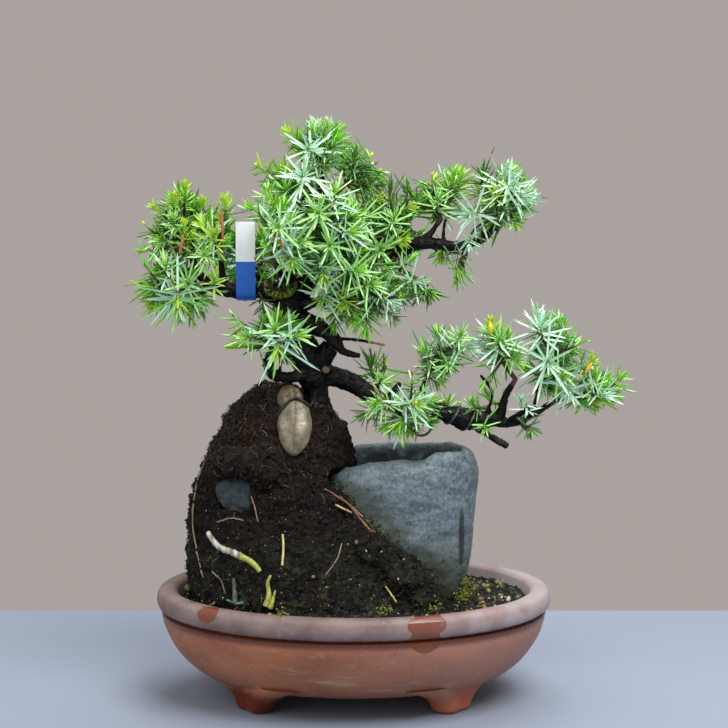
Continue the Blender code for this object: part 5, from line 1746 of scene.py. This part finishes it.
def spray(path, form, colour, rng, needles):
    """Whorls of three needles up a shoot: wide open at its foot, closing round its tip."""
    long, wide, narrow, clad, gap, thickness = SPRAY_FORMS[form]
    names = [COLOUR_NAMES.index(name) for name in SPRAY_COLOURS[colour]]
    ends = travelled(path)
    total = min(ends[-1], clad)
    begin = ends[-1] - total
    whorls = max(3, int(total / gap))
    phase = rng.uniform(0, 2 * math.pi)
    for j in range(whorls):
        rise = (j + 0.5) / whorls
        place, heading, across, beside = place_along(path, ends, begin + total * rise)
        opening = math.radians(wide + (narrow - wide) * rise ** 1.4)
        length = long * (0.92 + 0.16 * math.sin(math.pi * rise) - 0.26 * rise ** 4)
        back, band = names[:2] if rise < 0.62 else names[2:4]
        for k in range(3):
            around = phase + math.pi / 3 * j + 2 * math.pi / 3 * k + rng.uniform(-0.4, 0.4)
            out = round_about(across, beside, around)
            width = NEEDLE_WIDTH * thickness * rng.uniform(0.85, 1.12)
            add_needle(needles, place, heading, out, opening + rng.uniform(-0.3, 0.3),
                       length * rng.uniform(0.78, 1.1), width, rng.uniform(-0.9, 0.5), back, band)
    _, heading, across, beside = place_along(path, ends, ends[-1])
    for k in range(9):
        around = phase + 2 * math.pi / 9 * k
        out = round_about(across, beside, around)
        tilt = math.radians((40, 24, 10)[k % 3]) + rng.uniform(-0.12, 0.12)
        fresh = names[4] if rng.random() < 0.5 else names[2]
        length = long * rng.uniform(0.36, 0.62)
        add_needle(needles, path[-1] - heading * 0.4, heading, out, tilt, length,
                   NEEDLE_WIDTH * thickness * 0.85, 0.0, fresh, names[3])


def old_needles(path, rng, needles):
    """Sparse old needles lower down a shoot, a few of them dry."""
    ends = travelled(path)
    for where in np.arange(2.0, ends[-1] - 5, 1.5):
        if rng.random() > 0.72:
            continue
        place, heading, across, beside = place_along(path, ends, where)
        around = rng.uniform(0, 2 * math.pi)
        out = round_about(across, beside, around)
        dry = rng.random() < 0.12
        names = ("straw", "straw") if dry else ("back_dark", "band_dark")
        back, band = (COLOUR_NAMES.index(name) for name in names)
        add_needle(needles, place, heading, out, rng.uniform(0.8, 1.5), rng.uniform(7, 11),
                   NEEDLE_WIDTH * 0.85, rng.uniform(-1, 1), back, band)


def grow_shoot(path, radius, form, colour, rng, needles, twigs, buds):
    """A twig that turns green near its end, its needles, and the bud in the middle of them."""
    woody = path[:-2]
    if len(woody) > 1:
        twigs.add_tube(woody, np.linspace(radius, SHOOT_RADIUS * 1.2, len(woody)), 5, 0)
    green = path[-3:]
    twigs.add_tube(green, np.linspace(SHOOT_RADIUS * 1.15, SHOOT_RADIUS * 0.6, len(green)), 5, 1)
    old_needles(path, rng, needles)
    spray(path, form, colour, rng, needles)
    if rng.random() < 0.45:
        heading = unit(path[-1] - path[-2])
        size = rng.uniform(0.55, 0.95)
        places = path[-1] + heading * np.array([[-0.6], [0.1], [0.9], [1.7]]) * size * 1.3
        buds.add_tube(places, np.array([0.35, 0.85, 0.7, 0.1]) * size, 6, int(rng.integers(0, 3)))


def aimed(letters):
    """The way between those that the letters stand for."""
    return unit(sum(np.array(AIMS[letter], float) for letter in letters))


def named_shoots(name, stem, rng, *parts):
    """The sprays of a mass that show in the photo, each on a twig that bows up from the stem."""
    for x, y, z, aim, form, colour in SPRAYS.get(name, ()):
        tip = np.array([x, y, z], float)
        way = unit(aimed(aim) + rng.normal(size=3) * 0.12)
        if form != "star":
            tip += way * 3
        root = min(stem[1:], key=lambda place: np.linalg.norm(place - tip + way * 12))
        length = np.linalg.norm(tip - root)
        path = bezier(root, tip - way * min(length * 0.5, 12), tip, 7)
        grow_shoot(path, TWIG_RADIUS, form, colour, rng, *parts)


def pick_form(colour, way, rng):
    """A form that suits the colour and the way that a shoot points."""
    if colour == "yellow" and way[2] > 0.5:
        return "finger"
    return str(rng.choice(("star", "tuft", "young"), p=(0.5, 0.35, 0.15)))


def grow_mass(name, seed, leaning, needles, twigs, buds):
    """One mass, by the solids' rule: shoots leave its stem in a spiral, and fork once more."""
    limb, share, _, _, shoots = MASSES[name]
    space = SPACES[name]
    rng = np.random.default_rng(seed)
    start, heading, radius = along(PATHS[limb], share)
    if share < 1:
        out = space.centre - start
        heading = unit(out - heading * out.dot(heading))
    fork = start + heading * (radius * (share < 1) + STEM_NECK)
    crown = fork + (space.centre - fork) * STEM_REACH
    bow = (fork + crown) / 2 + across_from(unit(crown - fork)) * rng.uniform(-2, 2)
    stem = np.vstack([start - heading * 0.5, bezier(fork, bow, crown, 5)])
    twigs.add_tube(stem, np.linspace(STEM_RADIUS * 1.1, TWIG_RADIUS, len(stem)), 7, 0)
    axis = unit(crown - fork)
    side = across_from(axis)
    beside = np.cross(axis, side)
    own, near = Needles(), Needles()
    named = np.array([place[:3] for place in SPRAYS.get(name, ())], float)
    named_shoots(name, stem, rng, near, twigs, buds)
    leaders = round(shoots * LEADERS)
    for k in range(leaders):
        rise = (k + 0.5) / leaders
        root = stem[1 + int(4.6 * (0.12 + 0.83 * rise))]
        for turned in range(SHOOT_TRIES):
            around = GOLDEN_ANGLE * k + rng.uniform(-0.3, 0.3) + turned * 2 * math.pi / SHOOT_TRIES
            tilt = math.radians(-12 + 88 * rise ** 1.4 + rng.uniform(-8, 8))
            out = round_about(side, beside, around)
            out = unit(out * math.cos(tilt) + axis * math.sin(tilt))
            length = space.reach(root, out) - NEEDLE_LENGTH * NEEDLE_INSET
            if length < SHORTEST_SHOOT:
                continue
            tip = root + out * length + UP * length * UPTURN * 0.6
            if len(named) and tip[1] < space.centre[1] and rng.random() > NEAR_SHARE:
                continue
            if len(named) and np.linalg.norm(named - tip, axis=1).min() < NEAR_GAP:
                continue
            if shoot_fits(tip, space, -0.05):
                leader(root, tip, space, leaning, named, rng, own, twigs, buds)
                break
    near.clear(space, RODS, 1.5)
    own.clear(space, RODS, 1.04)
    needles.rows += near.rows + own.rows


def shoot_fits(tip, space, slack):
    """Whether a shoot may end here: in its space, off the limbs and not before the label."""
    tips = tip[None]
    open_air = not before_label(tips)[0] and not in_sky(tips)[0]
    return open_air and space.keeps(tips, slack)[0] and RODS.clearance(tips)[0] > 1.5


def leader(root, tip, space, leaning, named, rng, *parts):
    """A main shoot that bows up to its tip, with a side shoot or two that fork from it."""
    run = tip - root
    elbow = root + run * 0.55 - UP * np.linalg.norm(run) * 0.08
    path = bezier(root, elbow, tip, 6)
    colour = str(rng.choice(list(SPRAY_COLOURS), p=leaning))
    # Painted shade: some near-side shoots among the named sprays take the dark needles, fewer where
    # the mass leans pale.
    painted_shade_share = BEHIND_PAINTED_SHADE * (1 - 2.4 * leaning[2])
    if len(named) and tip[1] < space.centre[1] and rng.random() < painted_shade_share:
        colour = "dark"
    grow_shoot(path, TWIG_RADIUS, pick_form(colour, unit(run), rng), colour, rng, *parts)
    across = across_from(unit(run))
    for share in (0.42, 0.68):
        if rng.random() > 0.75:
            continue
        start = path[int(share * 6)]
        turn = unit(across * rng.normal() + np.cross(unit(run), across) * rng.normal())
        out = unit(unit(run) * 0.75 + turn * 0.75 + UP * 0.15)
        length = min(space.reach(start, out) - NEEDLE_LENGTH * NEEDLE_INSET, 13)
        if length < SHORTEST_SHOOT:
            continue
        end = start + out * length + UP * length * UPTURN * 0.5
        if len(named) and end[1] < space.centre[1] and rng.random() > NEAR_SHARE:
            continue
        if shoot_fits(end, space, 0):
            side_path = bezier(start, start + out * length * 0.55, end, 5)
            form = pick_form(colour, out, rng)
            grow_shoot(side_path, TWIG_RADIUS * 0.75, form, colour, rng, *parts)


def grow_sprouts(needles, twigs, buds):
    """Short shoots that leave the nearest limb."""
    rng = np.random.default_rng(SEED + 99)
    places = np.concatenate([path[:, :3] for path in PATHS.values()])
    for x, y, z, aim, form, colour in SPROUTS:
        tip = np.array([x, y, z], float)
        way = aimed(aim)
        root = places[np.linalg.norm(places - tip, axis=1).argmin()]
        path = bezier(root, tip - way * 3, tip, 4)
        grow_shoot(path, TWIG_RADIUS * 0.8, form, colour, rng, needles, twigs, buds)


def make_crown():
    """Every mass of needles, with the twigs, green shoots and buds in them."""
    colours = [
        new_material("needle_" + name, colour, 0.45, Specular_IOR_Level=0.25)
        for name, colour in NEEDLE_COLOURS.items()]
    twigs, buds = Shapes(), Shapes()
    numbers = {name: number for number, name in enumerate(MASSES)}
    for piece_name, (masses, leaning) in CROWN.items():
        needles = Needles()
        for mass in masses:
            grow_mass(mass, SEED + numbers[mass], leaning, needles, twigs, buds)
        if piece_name == "foliage_low_near":
            grow_sprouts(needles, twigs, buds)
        shapes = Shapes()
        needles.build(shapes)
        piece = new_piece(piece_name, shapes.mesh(piece_name), colours, 35)
        members = ["needles_" + mass for mass in masses]
        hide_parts(*members)
    for foot, tip, size, index in LARGE_BUDS:
        places = np.linspace(foot, tip, 6)
        buds.add_tube(places, np.array([0.45, 0.85, 1.0, 0.85, 0.5, 0.1]) * size, 8, index)
    finishes = mottled("twig_brown", "shoot_green")
    new_piece("crown_twigs", twigs.mesh("crown_twigs"), finishes, 60)
    finishes = mottled("bud_orange", "bud_brown", "bud_yellow", "bud_gold", "shoot_brown")
    new_piece("crown_buds", buds.mesh("crown_buds"), finishes, 60)


# Camera, light and floor

def make_camera():
    camera = add_object("camera", bpy.data.cameras.new("camera"))
    camera.data.sensor_width = CAMERA_SENSOR
    camera.data.lens = CAMERA_LENS
    camera.location = Vector(CAMERA_PLACE) * MM + POT_MIDDLE
    camera.rotation_euler = (math.radians(90 - CAMERA_DIP), 0, 0)
    bpy.context.scene.camera = camera


def add_lamp(name, place, target, size, power, colour):
    lamp = add_object(name, bpy.data.lights.new(name, "AREA"))
    lamp.data.size = size
    lamp.data.energy = power
    lamp.data.color = colour
    lamp.location = place
    aim = Vector(target) - Vector(place)
    lamp.rotation_euler = aim.to_track_quat("-Z", "Y").to_euler()


def make_table():
    """A pale table top whose back edge is a hand's breadth behind the pot."""
    bm = bmesh.new()
    place = Matrix.Translation(TABLE_MIDDLE) @ Matrix.Diagonal((*TABLE_SIZE, 1))
    bmesh.ops.create_cube(bm, size=1, matrix=place)
    mesh = bpy.data.meshes.new("table")
    bm.to_mesh(mesh)
    bm.free()
    table = add_object("table", mesh)
    mesh.materials.append(new_material("table", TABLE_COLOUR, 0.75))


def make_light():
    """A plain wall's even light all round, and three soft lamps."""
    world = bpy.data.worlds.new("studio")
    bpy.context.scene.world = world
    world.use_nodes = True
    background = world.node_tree.nodes["Background"]
    background.inputs["Color"].default_value = (*WALL_COLOUR, 1)
    background.inputs["Strength"].default_value = 1.0
    for name, settings in LAMPS.items():
        add_lamp(name, *settings)
    bpy.context.scene.view_settings.view_transform = "Standard"


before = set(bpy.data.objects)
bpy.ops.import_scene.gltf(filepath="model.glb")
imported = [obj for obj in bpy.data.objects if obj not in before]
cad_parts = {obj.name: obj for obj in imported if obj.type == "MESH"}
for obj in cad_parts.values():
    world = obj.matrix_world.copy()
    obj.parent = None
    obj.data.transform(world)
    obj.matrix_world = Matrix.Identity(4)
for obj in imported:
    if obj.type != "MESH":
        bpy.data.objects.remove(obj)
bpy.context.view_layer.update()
pot_low, pot_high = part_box("pot")
POT_MIDDLE = Vector(((pot_low.x + pot_high.x) / 2, (pot_low.y + pot_high.y) / 2, 0))
PATHS = paths_of({**LIMBS, **DEAD_LIMBS})
SPACES = make_spaces()
label_middle, _ = label_place()
label_rod = np.array([
    (LABEL_X, label_middle[1] - LABEL_ROD_RADIUS, height, LABEL_ROD_RADIUS)
    for height in (LABEL_ROD_FOOT, LABEL_TOP)])
RODS = Rods([*PATHS.values(), label_rod])

make_camera()
make_table()
make_light()
make_pot()
soil_mesh = make_soil()
stone_mesh = make_stone()
make_embedded_stone()
make_pebble()
mound_mesh = make_mound()
make_grains(mound_mesh, soil_mesh, stone_mesh)
make_fibres(mound_mesh)
make_loose_growth(surface_tree(mound_mesh, stone_mesh))
roots = [root_places(*root) for root in ROOTS]
live_wood = [*LIMBS.values(), CUT_STUB, *BARE_TWIGS, *roots, *stubs()]
bark = bark_material("bark", (0.0009, 0.0008, 0.0010), (0.0042, 0.0037, 0.0041))
make_wood("living_wood", live_wood, 0.5, 0.6, bark, list(LIMBS))
dry_bark = bark_material("dead_wood", (0.0022, 0.0018, 0.0016), (0.0105, 0.0078, 0.0062))
dead_wood = list(DEAD_LIMBS.values())
make_wood("dead_wood", dead_wood, 0.45, 0.5, dry_bark, list(DEAD_LIMBS))
make_training_wire()
make_tie_wire()
make_label()
make_crown()
